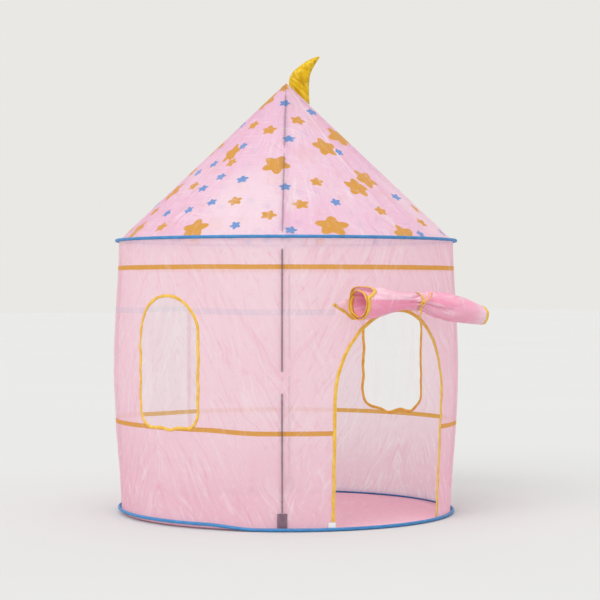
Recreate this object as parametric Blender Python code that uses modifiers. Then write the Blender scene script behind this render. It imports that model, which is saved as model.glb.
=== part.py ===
"""Castle play tent: a cloth drum and cone on two sprung hoops and four jointed rods.

Metres, +Z up. The origin is the middle of the floor's underside and the doorway faces -Y.
An azimuth is measured from -Y towards +X, so the doorway is at azimuth 0. A depth is
measured from a cloth's outer face, positive towards the inside of the tent.
"""

import math

import bmesh
import bpy
from mathutils import Vector

# Cloth, tape and clearances
CLOTH = 0.0012  # polyester sheet with its seam allowance
NET = 0.0008  # window netting
TAPE = 0.0008  # folded binding tape, rod sleeves and webbing
GAP = 0.0003  # between pieces that touch
TAPE_GAP = 0.0005  # between the curved cloth and the tape along a cut edge
WELD = 0.00001
OVERRUN = 0.08  # how far a cutter runs past both faces

# The tent from above
RING_STEPS = 48  # facets round the tent
ROD_COUNT = 4
FIRST_ROD_AZIMUTH = math.radians(-39.6)
WALL_BASE_RADIUS = 0.503
WALL_EAVE_RADIUS = 0.511
ROOF_SETBACK = 0.002  # the roof's foot stands this far inside the wall's head
FLOOR_SETBACK = 0.0025
FLOOR_HEM = 0.0035  # how far in from its riser the floor lies flat

# Heights
BASE_SEAM_Z = 0.0058
EAVE_SEAM_Z = 0.826
APEX_Z = 1.312
RIM_LIFT = 0.010  # the lower hoop stands off the ground over part of its round
LIFT_START, LIFT_FULL = math.radians(-47.5), math.radians(-65.0)
LIFT_FADE, LIFT_END = math.radians(-140.0), math.radians(-168.0)

# How the cloth swells over the bent rods
BOW_AT_RODS = 0.0195
BOW_BETWEEN_RODS = 0.008
BOW_POWER = 1.5
ROOF_SAG = 0.008  # the cone's cloth sinks between its ribs
WALL_ROW_SHARES = (0.0, 0.17, 0.37, 0.62, 0.83, 1.0)
ROOF_ROW_SHARES = (0.0, 0.22, 0.48, 0.74, 0.91, 1.0)

# Hoops in their taped seams
WIRE_RADIUS = 0.0016
WIRE_OFFSET = 0.0005  # the wire lies this far outside the tape's middle
CRIMP_RADIUS = 0.0026
CRIMP_LENGTH = 0.030
HOOP_JOIN_STEPS = 1.5  # facets from the first rod to the crimp
BINDING_RADIUS = 0.0048
BASE_LEG = 0.0012
EAVE_LEG = 0.0023
LEG_SETBACK = 0.0008  # between the wall's face and the tape's edge
BINDING_ARC_STEPS = 4

# Doorway and windows, measured along the cloth
DOOR_HALF_WIDTH = 0.203
DOOR_SPRING_Z = 0.360
DOOR_TOP_Z = 0.615
DOOR_FOOT_Z = 0.0100
WINDOW_BOTTOM_Z = 0.282
WINDOW_SPRING_Z = 0.545
WINDOW_TOP_Z = 0.660
WINDOW_CORNER = 0.050
LEFT_WINDOW_AZIMUTH = math.radians(-80.2)
LEFT_WINDOW_HALF_WIDTH = 0.118
BACK_WINDOW_AZIMUTH = math.radians(98.1)
BACK_WINDOW_HALF_WIDTH = 0.124
ARCH_STEPS = 10
CORNER_STEPS = 2
BINDING_WIDTH = 0.008  # tape on each face of a bound edge
LEAST_SPLIT = 0.001  # a bound edge is divided no finer than this

# Rods and their fittings
ROD_RADIUS = 0.003
ROD_SIDES = 10
FERRULE_RADIUS = 0.0044
FERRULE_WEB = 0.002
WALL_FERRULE_LENGTH = 0.060
WALL_FERRULE_Z = 0.418
ROOF_FERRULE_LENGTH = 0.050
ROOF_FERRULE_SHARE = 0.535
ELBOW_LOWER_ARM = 0.033
ELBOW_UPPER_ARM = 0.022
ELBOW_CORNER = 0.007
ELBOW_CORE = 0.009  # solid length of each arm at the bend
ELBOW_STEPS = 3
HUB_RADIUS = 0.013
HUB_DROP = 0.022  # from the apex to the hub's middle
HUB_SOCKET_START = 0.009
HUB_SOCKET_END = 0.045
HUB_BORE_START = 0.0165

# Rod sleeves and foot pockets
SLEEVE_HALF_WIDTH = 0.0135
SLEEVE_TOP_Z = 0.805
ROOF_SLEEVE_SHARES = (0.03, 0.22, 0.48, 0.74, 0.87)
POCKET_WIDTH = 0.030
POCKET_HEIGHT = 0.045
POCKET_HEADROOM = 0.004  # between the pocket's mouth and the sleeve

# Rolled door flap, measured from its seam
TIE_X = 0.028
ROLL_STANDOFF = 0.0545  # from the seam out to the roll's middle
ROLL_RISE = 0.024
ROLL_RADIUS = 0.050
ROLL_LEFT_REACH = 0.220
ROLL_RIGHT_REACH = 0.267
ROLL_DROOP = 0.043
ROLL_TURNS = 2.1
ROLL_ROWS = 24
ROLL_CORE_SHARE = 0.42  # radius of the innermost turn
ROLL_OUTER_ANGLE = math.radians(12.0)  # where the cloth meets the roll, from +Y towards +Z
# Each station: share of the reach to its side, share of the radius, share of the droop
ROLL_STATION_SHARES = (
    (-1.0, 0.86, 0.15),
    (-0.86, 0.93, 0.14),
    (-0.74, 1.0, 0.14),
    (-0.49, 0.80, 0.09),
    (-0.22, 0.56, 0.03),
    (0.0, 0.46, 0.0),
    (0.08, 0.52, 0.04),
    (0.18, 0.80, 0.17),
    (0.50, 0.92, 0.44),
    (0.78, 0.80, 0.74),
    (0.93, 0.68, 0.92),
    (1.0, 0.58, 1.0),
)
CORNER_REACH = 0.090
# How far the loose corner stands out on the rows from the seam inwards
CORNER_ROW_SHARES = (0.0, 0.42, 1.0, 0.30)
WEB_ROWS = 2  # rows of cloth between the seam and the roll
WEB_SHARE = 0.5  # where that cloth has its one fold
SEAM_HALF_WIDTH = 0.045
BEAD_RADIUS = 0.0025
BEAD_OFFSET = 0.0033  # from the flap's edge to the middle of its bound bead

# Ribbon that ties the roll
RIBBON_WIDTH = 0.008
RIBBON_START_ANGLE = math.radians(46.0)
RIBBON_END_ANGLE = math.radians(285.0)
RIBBON_STEPS = 14
RIBBON_SLACK = 0.0012
RIBBON_FOOT = 0.012  # the ribbon's ends stop this far from the seam
RIBBON_LIFT = 0.0005  # and stand this far off the line to it, clear of the flap
KNOT_ANGLE = math.radians(178.0)
KNOT_SIZE = (0.012, 0.007, 0.012)
BOW_LENGTH = 0.030
BOW_HEIGHT = 0.012
BOW_THICKNESS = 0.0016
BOW_STEPS = 12
BOW_TILT = math.radians(32.0)
TAIL_LENGTH = 0.034
TAIL_ANGLE = math.radians(212.0)
TAIL_CURL = 0.003

# Stuffed moon, in the upright plane of the second rod
MOON_FOOT_START = 0.010  # along the ground from the tent's axis
MOON_FOOT_END = 0.070
MOON_REACH = 0.1053
MOON_HEIGHT = 0.082  # from the apex to the tip
MOON_HALF_THICKNESS = 0.019
MOON_SIDES = 10
# Each section: outer edge and inner edge as shares of the reach and of the height from the
# apex to the tip, and the share of the half thickness
MOON_SECTION_SHARES = (
    ((0.110, 0.135), (0.660, -0.425), 0.80),
    ((0.150, 0.270), (0.658, -0.200), 1.00),
    ((0.245, 0.445), (0.668, 0.030), 0.96),
    ((0.385, 0.600), (0.695, 0.280), 0.82),
    ((0.560, 0.770), (0.762, 0.500), 0.64),
    ((0.780, 0.920), (0.870, 0.740), 0.40),
    ((0.960, 0.995), (0.975, 0.940), 0.12),
)
MOON_KEEL_SHARE = 0.16  # half thickness of the sewn foot
ROD_OF_MOON = 1

# Worked out from the sizes above
COLUMN = 2 * math.pi / RING_STEPS
ROD_AZIMUTHS = [FIRST_ROD_AZIMUTH + 2 * math.pi / ROD_COUNT * rod for rod in range(ROD_COUNT)]
SEAM_HALF_STACK = CLOTH + GAP / 2  # two flanges and the gap between them
LEG_HALF_GAP = SEAM_HALF_STACK + GAP
WALL_BOTTOM_Z = BASE_SEAM_Z + SEAM_HALF_STACK
WALL_TOP_Z = EAVE_SEAM_Z - SEAM_HALF_STACK
ROOF_FOOT_Z = EAVE_SEAM_Z + SEAM_HALF_STACK
FLOOR_RIM_Z = BASE_SEAM_Z - SEAM_HALF_STACK
ROOF_FOOT_RADIUS = WALL_EAVE_RADIUS - ROOF_SETBACK
FLOOR_RIM_RADIUS = WALL_BASE_RADIUS - FLOOR_SETBACK
BINDING_INNER_RADIUS = BINDING_RADIUS - TAPE
BINDING_NECK = math.sqrt(BINDING_RADIUS**2 - (LEG_HALF_GAP + TAPE) ** 2)
BASE_HOOP_RADIUS = WALL_BASE_RADIUS + LEG_SETBACK + BASE_LEG + BINDING_NECK
EAVE_HOOP_RADIUS = WALL_EAVE_RADIUS + LEG_SETBACK + EAVE_LEG + BINDING_NECK
FLANGE_SETBACK = CRIMP_RADIUS - WIRE_OFFSET + GAP  # from the hoop's middle to the cloth's edge
BORE_RADIUS = (ROD_RADIUS + GAP) / math.cos(math.pi / ROD_SIDES)
ROD_DEPTH = CLOTH + 2 * GAP + FERRULE_RADIUS
SLEEVE_INSIDE = FERRULE_RADIUS + GAP
POCKET_BACK = CLOTH + GAP + POCKET_WIDTH / 2 * math.tan(COLUMN / 2)
POCKET_FRONT = ROD_DEPTH + ROD_RADIUS + GAP + TAPE
POCKET_BOTTOM_Z = FLOOR_RIM_Z + CLOTH + GAP
ROD_FOOT_Z = POCKET_BOTTOM_Z + TAPE + GAP
MEAN_CLOTH_RADIUS = (WALL_BASE_RADIUS + WALL_EAVE_RADIUS + BOW_BETWEEN_RODS) / 2
EDGE_TAPE_START = GAP
EDGE_TAPE_END = GAP + TAPE
NET_DEPTH = (CLOTH - NET) / 2
SEAM_Z = DOOR_TOP_Z + BINDING_WIDTH / 2
SEAM_STACK = TAPE_GAP + TAPE + 2 * GAP + CLOTH / 2  # from the wall's face to the flap's seam
# Finishes: base colour, roughness, metallic
FINISHES = {
    "pink_polyester": ((0.86, 0.56, 0.66), 0.55, 0.0),
    "floor_polyester": ((0.80, 0.40, 0.52), 0.60, 0.0),
    "blue_tape": ((0.16, 0.40, 0.70), 0.65, 0.0),
    "yellow_tape": ((0.84, 0.52, 0.10), 0.60, 0.0),
    "white_net": ((0.86, 0.83, 0.80), 0.80, 0.0),
    "spring_wire": ((0.42, 0.43, 0.45), 0.35, 1.0),
    "grey_rod": ((0.12, 0.11, 0.12), 0.45, 0.0),
    "white_plastic": ((0.88, 0.87, 0.85), 0.40, 0.0),
    "webbing": ((0.24, 0.17, 0.20), 0.85, 0.0),
    "yellow_satin": ((0.86, 0.62, 0.06), 0.35, 0.0),
}


def finish(name):
    """The material of one finish, made once."""
    material = bpy.data.materials.get(name)
    if material is None:
        colour, roughness, metallic = FINISHES[name]
        material = bpy.data.materials.new(name)
        material.use_nodes = True
        shader = material.node_tree.nodes["Principled BSDF"]
        shader.inputs["Base Color"].default_value = (*colour, 1.0)
        shader.inputs["Roughness"].default_value = roughness
        shader.inputs["Metallic"].default_value = metallic
    return material


def clear_scene():
    """Removes what the scene held, and makes the two collections."""
    for old in list(bpy.data.objects):
        bpy.data.objects.remove(old, do_unlink=True)
    for name in ("play_tent", "cutters"):
        bpy.context.scene.collection.children.link(bpy.data.collections.new(name))


def add_part(name, mesh, finish_name):
    """One named piece of the tent."""
    mesh.name = name
    mesh.materials.clear()
    mesh.materials.append(finish(finish_name))
    mesh.shade_smooth()
    mesh.set_sharp_from_angle(angle=math.radians(40.0))
    part = bpy.data.objects.new(name, mesh)
    bpy.data.collections["play_tent"].objects.link(part)
    return part


def add_cutter(name, mesh):
    """A shape that only cuts or joins."""
    cutter = bpy.data.objects.new(name, mesh)
    cutter.hide_render = True
    cutter.display_type = "WIRE"
    bpy.data.collections["cutters"].objects.link(cutter)
    return cutter


def apply_boolean(part, operation, other):
    """Adds an exact Boolean with the other shape."""
    modifier = part.modifiers.new(f"{operation.lower()}_{other.name}", "BOOLEAN")
    modifier.operation = operation
    modifier.object = other
    modifier.solver = "EXACT"


def thicken(part, thickness, offset=-1.0):
    """Gives an open sheet its thickness, inwards unless told otherwise."""
    modifier = part.modifiers.new("cloth", "SOLIDIFY")
    modifier.thickness = thickness
    modifier.offset = offset
    modifier.use_even_offset = True


def grid_mesh(columns, rows, place, folded=False):
    """A grid whose corner at each column and row is put where place says, seams welded.

    Where it is folded, each cell bends along the diagonal from its first corner.
    """
    bm = bmesh.new()
    bmesh.ops.create_grid(bm, x_segments=columns, y_segments=rows, size=1.0)
    if folded:
        bmesh.ops.triangulate(bm, faces=bm.faces, quad_method="FIXED")
    for vert in bm.verts:
        column = round((vert.co.x + 1.0) / 2 * columns)
        row = round((vert.co.y + 1.0) / 2 * rows)
        vert.co = place(column, row)
    bmesh.ops.remove_doubles(bm, verts=bm.verts, dist=WELD)
    return mesh_from(bm)


def mesh_from(bm):
    """Turns a bmesh into a mesh and frees it."""
    mesh = bpy.data.meshes.new("shape")
    bm.to_mesh(mesh)
    bm.free()
    return mesh


def loft_mesh(rings, closed=False):
    """Skins closed sections, with caps unless the last one meets the first."""
    bm = bmesh.new()
    loops = [[bm.verts.new(point) for point in ring] for ring in rings]
    pairs = list(zip(loops, loops[1:]))
    if closed:
        pairs.append((loops[-1], loops[0]))
    else:
        bm.faces.new(loops[0])
        bm.faces.new(loops[-1])
    for near, far in pairs:
        for i, vert in enumerate(near):
            j = (i + 1) % len(near)
            bm.faces.new((vert, near[j], far[j], far[i]))
    bmesh.ops.recalc_face_normals(bm, faces=bm.faces)
    return mesh_from(bm)


def tube_mesh(points, radius, sides=8):
    """A round bar along a line of points, as one welded mesh."""
    curve = bpy.data.curves.new("bar", "CURVE")
    curve.dimensions = "3D"
    curve.bevel_depth = radius
    curve.bevel_resolution = sides // 2 - 2
    curve.use_fill_caps = True
    spline = curve.splines.new("POLY")
    spline.points.add(len(points) - 1)
    for place, point in zip(spline.points, points):
        place.co = (*point, 1.0)
    holder = bpy.data.objects.new("bar", curve)
    bpy.data.collections["cutters"].objects.link(holder)
    graph = bpy.context.evaluated_depsgraph_get()
    bm = bmesh.new()
    bm.from_mesh(bpy.data.meshes.new_from_object(holder.evaluated_get(graph)))
    bmesh.ops.remove_doubles(bm, verts=bm.verts, dist=WELD)
    bmesh.ops.recalc_face_normals(bm, faces=bm.faces)
    bpy.data.objects.remove(holder, do_unlink=True)
    bpy.data.curves.remove(curve)
    return mesh_from(bm)


def turned_part(name, profile, steps, finish_name, closed=False):
    """A piece turned about its own Z axis from a profile of radius and height."""
    bm = bmesh.new()
    verts = [bm.verts.new((radius, 0.0, height)) for radius, height in profile]
    ends = verts[1:] + verts[:1] if closed else verts[1:]
    for start, end in zip(verts, ends):
        bm.edges.new((start, end))
    part = add_part(name, mesh_from(bm), finish_name)
    modifier = part.modifiers.new("turn", "SCREW")
    modifier.steps = steps
    modifier.render_steps = steps
    modifier.use_merge_vertices = True
    modifier.merge_threshold = WELD
    modifier.use_smooth_shade = False
    return part


def aim(part, middle, direction):
    """Puts a piece's origin at a point and its Z axis along a direction."""
    part.location = middle
    part.rotation_mode = "QUATERNION"
    part.rotation_quaternion = direction.to_track_quat("Z", "Y")


def polar(radius, azimuth, z):
    """A point at a radius and azimuth about the tent's axis."""
    return Vector((radius * math.sin(azimuth), -radius * math.cos(azimuth), z))


def smoothstep(start, end, value):
    """0 before start, 1 after end, and smooth between."""
    share = min(max((value - start) / (end - start), 0.0), 1.0)
    return share * share * (3.0 - 2.0 * share)


def wrap_angle(angle):
    """The same direction between minus pi and pi."""
    return (angle + math.pi) % (2 * math.pi) - math.pi


def column_azimuth(column):
    """Azimuth of a numbered fold line of the faceted cloth."""
    return FIRST_ROD_AZIMUTH + COLUMN * column


def fold_number(azimuth):
    """Which fold line an azimuth is at, with the share of the way to the next."""
    return (azimuth - FIRST_ROD_AZIMUTH) / COLUMN


def facet_at(azimuth):
    """The fold lines on each side of an azimuth, and the share of the way between them."""
    place = fold_number(azimuth)
    left = math.floor(place + WELD)
    return column_azimuth(left), column_azimuth(left + 1), max(place - left, 0.0)


def rod_wave(azimuth):
    """1 over a rod and 0 midway between two."""
    return (1.0 + math.cos(ROD_COUNT * (azimuth - FIRST_ROD_AZIMUTH))) / 2


def rim_lift(azimuth):
    """How far the lower rim stands off the ground."""
    turn = wrap_angle(azimuth)
    rise = smoothstep(-LIFT_START, -LIFT_FULL, -turn)
    return RIM_LIFT * rise * (1.0 - smoothstep(-LIFT_FADE, -LIFT_END, -turn))


def wall_corner(azimuth, share, depth=0.0):
    """A point of the wall at a share of its height."""
    bow = BOW_BETWEEN_RODS + (BOW_AT_RODS - BOW_BETWEEN_RODS) * rod_wave(azimuth)
    swell = bow * max(math.sin(math.pi * share), 0.0) ** BOW_POWER
    radius = WALL_BASE_RADIUS + (WALL_EAVE_RADIUS - WALL_BASE_RADIUS) * share + swell
    bottom = WALL_BOTTOM_Z + rim_lift(azimuth)
    return polar(radius - depth, azimuth, bottom + (WALL_TOP_Z - bottom) * share)


def wall_share(azimuth, z):
    """The share of the wall's height that a height is at."""
    bottom = WALL_BOTTOM_Z + rim_lift(azimuth)
    return (z - bottom) / (WALL_TOP_Z - bottom)


def row_number(azimuth, z):
    """Which row of the wall a height is at, with the share of the way to the next."""
    share = wall_share(azimuth, z)
    row = sum(level <= share for level in WALL_ROW_SHARES[1:-1])
    low, high = WALL_ROW_SHARES[row], WALL_ROW_SHARES[row + 1]
    return row + (share - low) / (high - low)


def wall_point(azimuth, z, depth=0.0):
    """A point of the faceted wall: on the line of rows and folds that is straight above it."""
    left, right, share = facet_at(azimuth)
    line = []
    for low, high in zip(WALL_ROW_SHARES, WALL_ROW_SHARES[1:]):
        corner = wall_corner(left, low, depth)
        line.append(corner.lerp(wall_corner(right, low, depth), share))
        if share > WELD:
            line.append(corner.lerp(wall_corner(right, high, depth), share))
    line.append(wall_corner(left, 1.0, depth).lerp(wall_corner(right, 1.0, depth), share))
    place = sum(point.z <= z for point in line[1:-1])
    start, end = line[place], line[place + 1]
    return start.lerp(end, (z - start.z) / (end.z - start.z))


def roof_corner(azimuth, share, depth=0.0):
    """A point of the roof at a share of the way from its foot to the apex."""
    foot = Vector((ROOF_FOOT_RADIUS, ROOF_FOOT_Z))
    along = foot.lerp(Vector((0.0, APEX_Z)), share)
    outwards = Vector((APEX_Z - ROOF_FOOT_Z, ROOF_FOOT_RADIUS)).normalized()
    sag = ROOF_SAG * (1.0 - rod_wave(azimuth)) * max(math.sin(math.pi * share), 0.0)
    along -= outwards * (depth + sag)
    return polar(along.x, azimuth, along.y)


def roof_point(azimuth, share, depth=0.0):
    """A point of the faceted roof."""
    left, right, along = facet_at(azimuth)
    return roof_corner(left, share, depth).lerp(roof_corner(right, share, depth), along)


def make_wall():
    """The wall: one strip of cloth with flanges in both seams, a doorway and two windows."""
    rows = [(share, None) for share in WALL_ROW_SHARES]
    rows = [(0.0, BASE_HOOP_RADIUS - FLANGE_SETBACK), *rows, (1.0, EAVE_HOOP_RADIUS - FLANGE_SETBACK)]

    def place(column, row):
        azimuth = column_azimuth(column % RING_STEPS)
        share, flange = rows[row]
        point = wall_corner(azimuth, share)
        return point if flange is None else polar(flange, azimuth, point.z)

    mesh = grid_mesh(RING_STEPS, len(rows) - 1, place, folded=True)
    wall = add_part("wall_cloth", mesh, "pink_polyester")
    thicken(wall, CLOTH)
    cut_opening(wall, "doorway_cut", 0.0, door_path(-OVERRUN))
    for name, azimuth, half_width in WINDOWS:
        cut_opening(wall, f"{name}_cut", azimuth, window_path(half_width))


def make_roof():
    """The roof: one cone of cloth, sunk a little between its ribs, flanged at its foot."""

    def place(column, row):
        azimuth = column_azimuth(column % RING_STEPS)
        if row == 0:
            return polar(EAVE_HOOP_RADIUS - FLANGE_SETBACK, azimuth, ROOF_FOOT_Z)
        return roof_corner(azimuth, ROOF_ROW_SHARES[row - 1])

    mesh = grid_mesh(RING_STEPS, len(ROOF_ROW_SHARES), place)
    thicken(add_part("roof_cloth", mesh, "pink_polyester"), CLOTH)


def make_floor():
    """The floor: a flat round sheet that turns up to the lower seam."""
    rows = [
        (0.0, None),
        (FLOOR_RIM_RADIUS - FLOOR_HEM, None),
        (FLOOR_RIM_RADIUS, FLOOR_RIM_Z),
        (BASE_HOOP_RADIUS - FLANGE_SETBACK, FLOOR_RIM_Z),
    ]

    def place(column, row):
        azimuth = column_azimuth(column % RING_STEPS)
        radius, rim = rows[row]
        return polar(radius, azimuth, 0.0 if rim is None else rim + rim_lift(azimuth))

    mesh = grid_mesh(RING_STEPS, len(rows) - 1, place)
    thicken(add_part("floor_sheet", mesh, "floor_polyester"), CLOTH)


def binding_section(leg):
    """Half a hoop seam's tape: round the wire, with two legs that pinch the cloth."""

    def arc(radius, half_gap):
        start = math.pi - math.asin(half_gap / radius)
        angles = [start - 2 * start * step / BINDING_ARC_STEPS for step in range(BINDING_ARC_STEPS + 1)]
        return [(radius * math.cos(angle), radius * math.sin(angle)) for angle in angles]

    tip = -BINDING_NECK - leg
    outer = LEG_HALF_GAP + TAPE
    outside = [(tip, outer), *arc(BINDING_RADIUS, outer), (tip, -outer)]
    inside = [(tip, LEG_HALF_GAP), *arc(BINDING_INNER_RADIUS, LEG_HALF_GAP), (tip, -LEG_HALF_GAP)]
    return outside + inside[::-1]


def make_hoop(name, radius, height, leg, lift):
    """One hoop: spring wire joined by a crimp, in the folded tape of its seam."""
    middle = radius + WIRE_OFFSET
    join = column_azimuth(HOOP_JOIN_STEPS)
    facet_radius = middle * math.cos(COLUMN / 2)
    end_turn = math.atan2(GAP, facet_radius)
    first = math.ceil(HOOP_JOIN_STEPS)

    def wire_point(azimuth, reach):
        return polar(reach, azimuth, height + lift(azimuth))

    turns = [column_azimuth(first + step) for step in range(RING_STEPS)]
    points = [wire_point(join + end_turn, facet_radius)]
    points += [wire_point(azimuth, middle) for azimuth in turns]
    points.append(wire_point(join - end_turn, facet_radius))
    add_part(f"{name}_hoop", tube_mesh(points, WIRE_RADIUS, sides=6), "spring_wire")

    crimp_bore = (WIRE_RADIUS + GAP) / math.cos(math.pi / ROD_SIDES)
    half = CRIMP_LENGTH / 2
    profile = [(crimp_bore, -half), (crimp_bore, half), (CRIMP_RADIUS, half), (CRIMP_RADIUS, -half)]
    crimp = turned_part(f"{name}_hoop_crimp", profile, ROD_SIDES, "spring_wire", closed=True)
    aim(crimp, wire_point(join, facet_radius), polar(1.0, join + math.pi / 2, 0.0))

    section = binding_section(leg)
    rings = []
    for column in range(RING_STEPS):
        azimuth = column_azimuth(column)
        z = height + lift(azimuth)
        rings.append([polar(radius + out, azimuth, z + up) for out, up in section])
    add_part(f"{name}_binding", loft_mesh(rings, closed=True), "blue_tape")


def no_lift(_azimuth):
    """The upper hoop lies level."""
    return 0.0


WINDOWS = (
    ("left_window", LEFT_WINDOW_AZIMUTH, LEFT_WINDOW_HALF_WIDTH),
    ("back_window", BACK_WINDOW_AZIMUTH, BACK_WINDOW_HALF_WIDTH),
)


def arch(half_width, spring, top):
    """An arch from its left spring over its top to its right spring."""
    points = []
    for step in range(ARCH_STEPS + 1):
        angle = math.pi * step / ARCH_STEPS
        points.append((-half_width * math.cos(angle), spring + (top - spring) * math.sin(angle)))
    return points


def door_path(foot):
    """The doorway's edge from its left foot to its right foot."""
    over = arch(DOOR_HALF_WIDTH, DOOR_SPRING_Z, DOOR_TOP_Z)
    return [(-DOOR_HALF_WIDTH, foot), *over, (DOOR_HALF_WIDTH, foot)]


def window_path(half_width, inset=0.0):
    """A window's edge, round its arch and its two lower corners."""
    reach = half_width - inset
    corner = WINDOW_CORNER - inset
    path = arch(reach, WINDOW_SPRING_Z, WINDOW_TOP_Z - inset)
    middle = reach - corner
    level = WINDOW_BOTTOM_Z + inset + corner
    for side, start in ((1.0, 0.0), (-1.0, math.pi / 2)):
        for step in range(CORNER_STEPS + 1):
            angle = start + math.pi / 2 * step / CORNER_STEPS
            path.append((side * middle + corner * math.cos(angle), level - corner * math.sin(angle)))
    return path


def on_cloth(centre, place, depth=0.0):
    """The wall point at a distance along the cloth from an azimuth, and a height."""
    along, z = place
    return wall_point(centre + along / MEAN_CLOTH_RADIUS, z, depth)


def split_where(path, measure, levels, closed):
    """Adds a point wherever the measure passes one of the levels along a path."""
    ends = path[1:] + path[:1] if closed else path[1:]
    result = []
    for start, end in zip(path, ends):
        result.append(start)
        first, change = measure(start), measure(end) - measure(start)
        run = Vector(end) - Vector(start)
        passed = [(level - first) / change for level in levels] if change else []
        last = 0.0
        for share in sorted(share for share in passed if 0 < share < 1):
            if min(share - last, 1.0 - share) * run.length > LEAST_SPLIT:
                result.append(tuple(Vector(start) + run * share))
                last = share
    return result if closed else [*result, path[-1]]


def split_at_folds(path, centre, closed):
    """Adds a point wherever a path crosses a fold line, a row or a cell's diagonal."""

    def folds(place):
        return fold_number(centre + place[0] / MEAN_CLOTH_RADIUS)

    def rows(place):
        return row_number(centre + place[0] / MEAN_CLOTH_RADIUS, place[1])

    def height(place):
        return wall_share(centre + place[0] / MEAN_CLOTH_RADIUS, place[1])

    numbers = range(-RING_STEPS, RING_STEPS)
    path = split_where(path, folds, numbers, closed)
    path = split_where(path, height, WALL_ROW_SHARES, closed)
    return split_where(path, lambda place: rows(place) - folds(place), numbers, closed)


def inward_steps(path, closed):
    """At each point of an edge, the mitred step of unit width into the opening."""
    middle = Vector((0.0, sum(z for _, z in path) / len(path)))
    points = [Vector(point) for point in path]
    steps = []
    for i, point in enumerate(points):
        before = points[i - 1] if closed or i else None
        after = points[(i + 1) % len(points)] if closed or i + 1 < len(points) else None
        sides = []
        for start, end in ((before, point), (point, after)):
            if start is not None and end is not None:
                run = (end - start).normalized()
                side = Vector((-run.y, run.x))
                sides.append(side if side.dot(middle - point) > 0 else -side)
        if len(sides) == 2:
            steps.append((sides[0] + sides[1]) / (1.0 + sides[0].dot(sides[1])))
        else:
            steps.append(sides[0])
    return steps


def cut_opening(wall, name, centre, path):
    """Cuts an opening square to the curved wall."""
    wall_cutter = opening_cutter(name, centre, path)
    apply_boolean(wall, "DIFFERENCE", wall_cutter)


def opening_cutter(name, centre, path):
    """A block of an opening's outline that runs through the wall."""
    outline = split_at_folds(path, centre, closed=True)
    depths = (-OVERRUN, -TAPE_GAP, CLOTH + TAPE_GAP, OVERRUN)
    rings = [[on_cloth(centre, place, depth) for place in outline] for depth in depths]
    return add_cutter(name, loft_mesh(rings))


def bind_edge(name, centre, path, section, closed):
    """Tape of a given section along an opening's edge, bent with the wall."""
    edge = split_at_folds(path, centre, closed)
    rings = []
    for (x, z), step in zip(edge, inward_steps(edge, closed)):
        ring = [on_cloth(centre, (x + step.x * into, z + step.y * into), depth) for into, depth in section]
        rings.append(ring)
    add_part(name, loft_mesh(rings, closed), "yellow_tape")


def make_door_binding():
    """Tape folded over the doorway's cut edge, a U in section."""
    outer, inner = -TAPE_GAP, CLOTH + TAPE_GAP
    section = [
        (-BINDING_WIDTH, outer - TAPE),
        (EDGE_TAPE_END, outer - TAPE),
        (EDGE_TAPE_END, inner + TAPE),
        (-BINDING_WIDTH, inner + TAPE),
        (-BINDING_WIDTH, inner),
        (EDGE_TAPE_START, inner),
        (EDGE_TAPE_START, outer),
        (-BINDING_WIDTH, outer),
    ]
    bind_edge("door_binding", 0.0, door_path(DOOR_FOOT_Z), section, closed=False)


def make_window(name, azimuth, half_width):
    """A window's tape, an H in section between cloth and net, and the net itself."""
    outer, inner, reach = -TAPE_GAP, CLOTH + TAPE_GAP, BINDING_WIDTH / 2
    section = [
        (-reach, outer - TAPE),
        (reach, outer - TAPE),
        (reach, outer),
        (EDGE_TAPE_END, outer),
        (EDGE_TAPE_END, inner),
        (reach, inner),
        (reach, inner + TAPE),
        (-reach, inner + TAPE),
        (-reach, inner),
        (EDGE_TAPE_START, inner),
        (EDGE_TAPE_START, outer),
        (-reach, outer),
    ]
    bind_edge(f"{name}_binding", azimuth, window_path(half_width), section, closed=True)

    half_turn = half_width / MEAN_CLOTH_RADIUS
    first = math.floor((azimuth - half_turn - FIRST_ROD_AZIMUTH) / COLUMN)
    last = math.ceil((azimuth + half_turn - FIRST_ROD_AZIMUTH) / COLUMN)

    def place(column, row):
        return wall_corner(column_azimuth(first + column), WALL_ROW_SHARES[row], NET_DEPTH)

    mesh = grid_mesh(last - first, len(WALL_ROW_SHARES) - 1, place, folded=True)
    net = add_part(f"{name}_net", mesh, "white_net")
    thicken(net, NET)
    outline = window_path(half_width, inset=EDGE_TAPE_END + GAP)
    apply_boolean(net, "INTERSECT", opening_cutter(f"{name}_net_cut", azimuth, outline))


def sleeve_section():
    """A sleeve's band: two flat hems on the cloth and a channel round the rod."""
    hem = CLOTH + GAP

    def outline(grow):
        shoulder = SLEEVE_INSIDE + grow
        slope = shoulder * math.sqrt(0.5)
        half = [(-SLEEVE_HALF_WIDTH, hem + grow), (-shoulder, hem + grow), (-shoulder, ROD_DEPTH)]
        half += [(-slope, ROD_DEPTH + slope)]
        return [*half, (0.0, ROD_DEPTH + shoulder), *[(-side, depth) for side, depth in half[::-1]]]

    return outline(0.0) + outline(TAPE)[::-1]


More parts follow.
